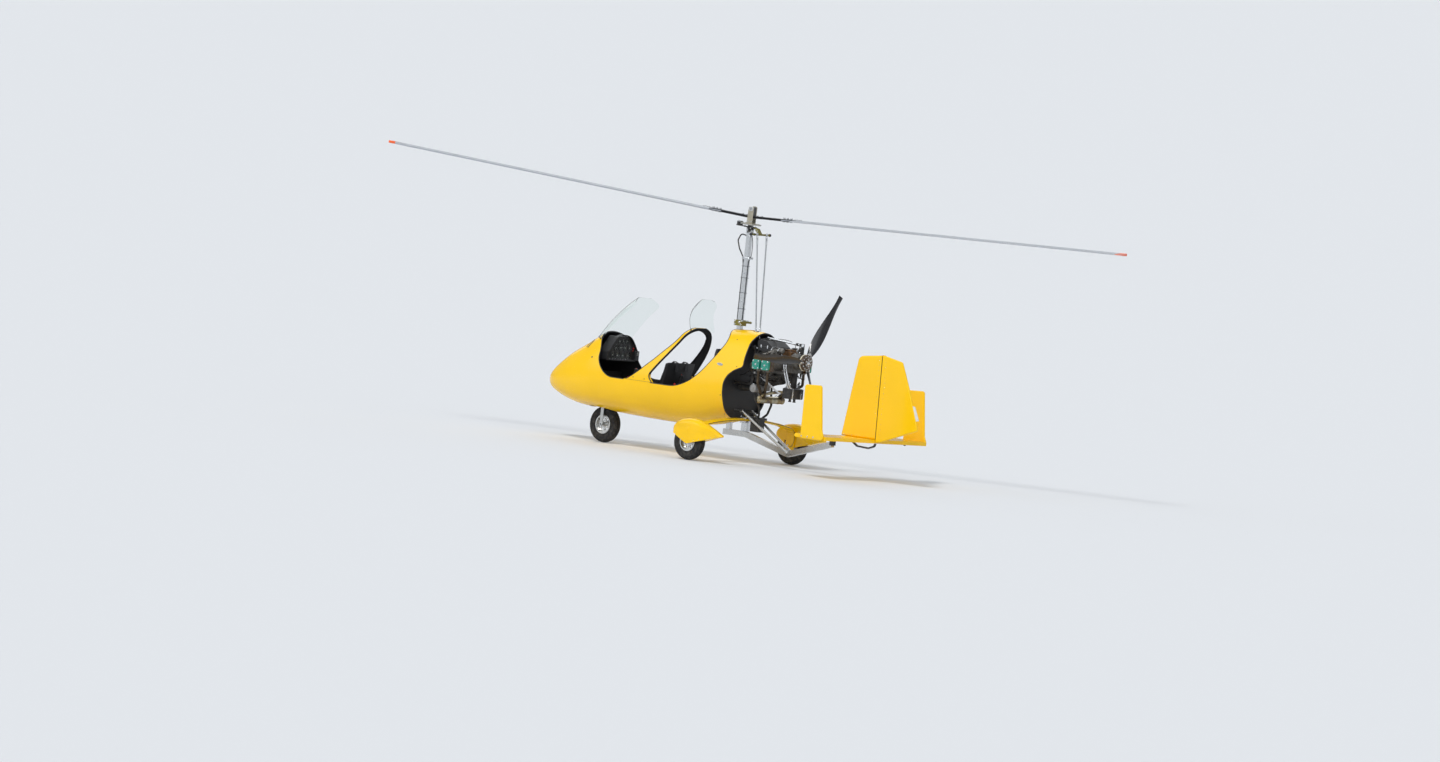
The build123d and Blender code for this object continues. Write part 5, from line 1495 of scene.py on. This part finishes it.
gear = Kit("gear_fasteners", STEEL)
for s in (1, -1):
    for dx in (-0.036, 0.036):
        gear.bolt((-0.225 + dx, s * 0.046, 0.484), UP, 0.0075, nut=True)
        gear.bolt((-0.225 + dx, s * 0.046, 0.432), (0, 0, -1), 0.0075)
    for at in circle((MAIN_X, s * 0.753, AXLE), 0.022, 4, pi / 4, "xz"):
        gear.bolt(at, (0, -s, 0), 0.0055)
    gear.lathe(((0.0125, 0), (0.019, 0.0), (0.019, 0.003), (0.0125, 0.003)), (MAIN_X, s * 0.893, AXLE),
               (0, s, 0), 20)
gear.done()
lines = Kit("brake_lines", HOSE)
for s in (1, -1):
    route = [(-0.274, 0.070, 0.470), (-0.2825, 0.110, 0.458), (-0.2825, 0.280, 0.450),
             (-0.2825, 0.520, 0.424), (-0.2825, 0.700, 0.390),
             (-0.2825, 0.752, 0.345), (-0.2825, 0.757, 0.260), (-0.262, 0.752, 0.205),
             (-0.235, 0.752, 0.196)]
    lines.tube(smooth([(x, s * y, z) for x, y, z in route], 5), 0.0028, 8)
lines.done()
fork = Kit("fork_fasteners", STEEL, "fork")
for s in (1, -1):
    fork.lathe(((0.0128, 0), (0.0185, 0.0004), (0.0185, 0.0036), (0.0128, 0.004)),
               (NOSE_X, s * 0.072, AXLE), (0, s, 0), 24, cap=False)
    for x in (1.714, 1.732):
        fork.bolt((x, s * 0.066, 0.432), UP, 0.005)
fork.done()


def dots(kit, tree, points, way, r=0.003):
    """Rivets where rays from the points meet a surface."""
    for p in points:
        at, normal = on(tree, p, way)
        if at:
            kit.rivet(at, normal, r)


SPATS = surface("wheel_spats")
studs = Kit("spat_fasteners", STEEL)
hatch = Kit("spat_hatches", YELLOW)
for s in (1, -1):
    for side in (1, -1):
        low = ((0.004, 0.290), (-0.040, 0.272), (-0.090, 0.239), (-0.145, 0.222), (-0.195, 0.197),
               (-0.250, 0.203), (-0.300, 0.217),
               (-0.370, 0.236), (-0.440, 0.253), (-0.510, 0.271), (-0.575, 0.286))
        dots(studs, SPATS, [(x, s * HALF_TRACK + side * 0.3, z) for x, z in low], (0, -side, 0), 0.0034)
    at, normal = on(SPATS, (-0.205, s * 1.3, 0.330), (0, -s, 0))
    hatch.lathe(((0.030, -0.001), (0.030, 0.0012), (0.028, 0.0020), (0.026, 0.0012), (0.024, 0.0018),
                 (0.008, 0.0022)), at, normal, 32)
studs.done()
hatch.done()


# Tail

FIN, RUDDER, TIPS, STAB = (surface(name) for name in ("centre_fin", "rudder", "tip_fins", "stabilizer"))
studs = Kit("tail_fasteners", STEEL)
groove = Kit("rudder_hinge_seals", BLACK)
rudder_studs = Kit("rudder_fasteners", STEEL, "rudder")
for s in (1, -1):
    dots(studs, FIN, [(-1.60 - 0.055 * k, s * 0.5, 0.463) for k in range(7)], (0, -s, 0), 0.0036)
    dots(studs, FIN, [(-1.992 + 0.0217 * (k / 14) - 0.008, s * 0.5, 0.50 + 0.056 * k) for k in range(15)],
         (0, -s, 0))
    dots(rudder_studs, RUDDER, [(-2.082 + 0.02 * k / 14, s * 0.5, 0.50 + 0.055 * k) for k in range(15)],
         (0, -s, 0))
    for x in (-1.72, -1.80, -1.88):
        at, normal = on(TIPS, (x, s * 1.3, 0.425), (0, -s, 0))
        studs.bolt(at, normal, 0.0055)
    for k in range(11):
        dots(studs, STAB, [(-1.645, s * (0.10 + 0.068 * k), 1.0), (-2.000, s * (0.10 + 0.068 * k), 1.0)],
             (0, 0, -1))
    for reach, side in ((0.0075, 0.0189), (0.0115, 0.0172)):
        groove.tube([(-2.0375 + reach, s * side, 0.449), (-2.0185 + reach, s * side, 1.324)], 0.0021, 8)
studs.done()
groove.done()
rudder_studs.done()
tab = Kit("trim_tab_plate", TAB, "rudder")
tab.prism([(-2.464, 0.853), (-2.5065, 0.843), (-2.5765, 0.704), (-2.530, 0.693)], (0, 0.0047, 0), FORE, UP,
          0.0094, 0.0006)
tab.done()
feet = Kit("stabilizer_feet", RUBBER)
for s in (1, -1):
    for x in (-1.70, -1.93):
        feet.lathe(((0.014, 0.0), (0.014, 0.006), (0.011, 0.014), (0.006, 0.016)), (x, s * 0.60, 0.4052),
                   (0, 0, -1), 20)
feet.done()
shoe = Kit("skid_shoe", STEEL)
shoe.strap([(-1.765, 0, 0.3465), (-1.780, 0, 0.3435), (-1.860, 0, 0.3395), (-1.940, 0, 0.3365),
            (-1.975, 0, 0.3485), (-2.004, 0, 0.3605)], 0.0215, 0.002, [(0, 0, -1)] * 6)
shoe.done()


# Screens: a rubber seal along each base and the screws through it

seal = Kit("screen_seals", BLACK)
heads = Kit("screen_screws", STEEL)
for name in ("front_windscreen", "rear_windscreen"):
    pane = surface(name)
    rear = min(v.co.x for v in NODES[name].data.vertices) - 0.05
    foot = []
    for k in range(-32, 33):
        out = Vector((cos(radians(3 * k)), sin(radians(3 * k)), 0))
        for step in range(120):
            start = Vector((rear, 0, 0.80 + 0.005 * step)) + out
            met, far = pane.ray_cast(start, -out)[::3]
            hull, hull_far = SKIN.ray_cast(start, -out)[::3]
            if met is not None and far < 0.95 and (hull is None or far < hull_far - 0.0005):
                if hull is not None and hull_far - far < 0.03:
                    foot.append(met)
                break
    line = soften(foot)
    seal.tube(line, 0.0052, 8)
    gone = 0.0
    for a, b in zip(line, line[1:]):
        gone += (b - a).length
        if gone > 0.075:
            gone = 0.0
            out = Vector((b.x - rear - 0.1, b.y, 0)).normalized()
            at, normal = on(pane, b + out * 0.1 + Vector((0, 0, 0.016)), -out)
            if at:
                heads.lathe(((0.0042, -0.001), (0.0042, 0.0014), (0.0026, 0.0026)), at, normal, 10)
seal.done()
heads.done()
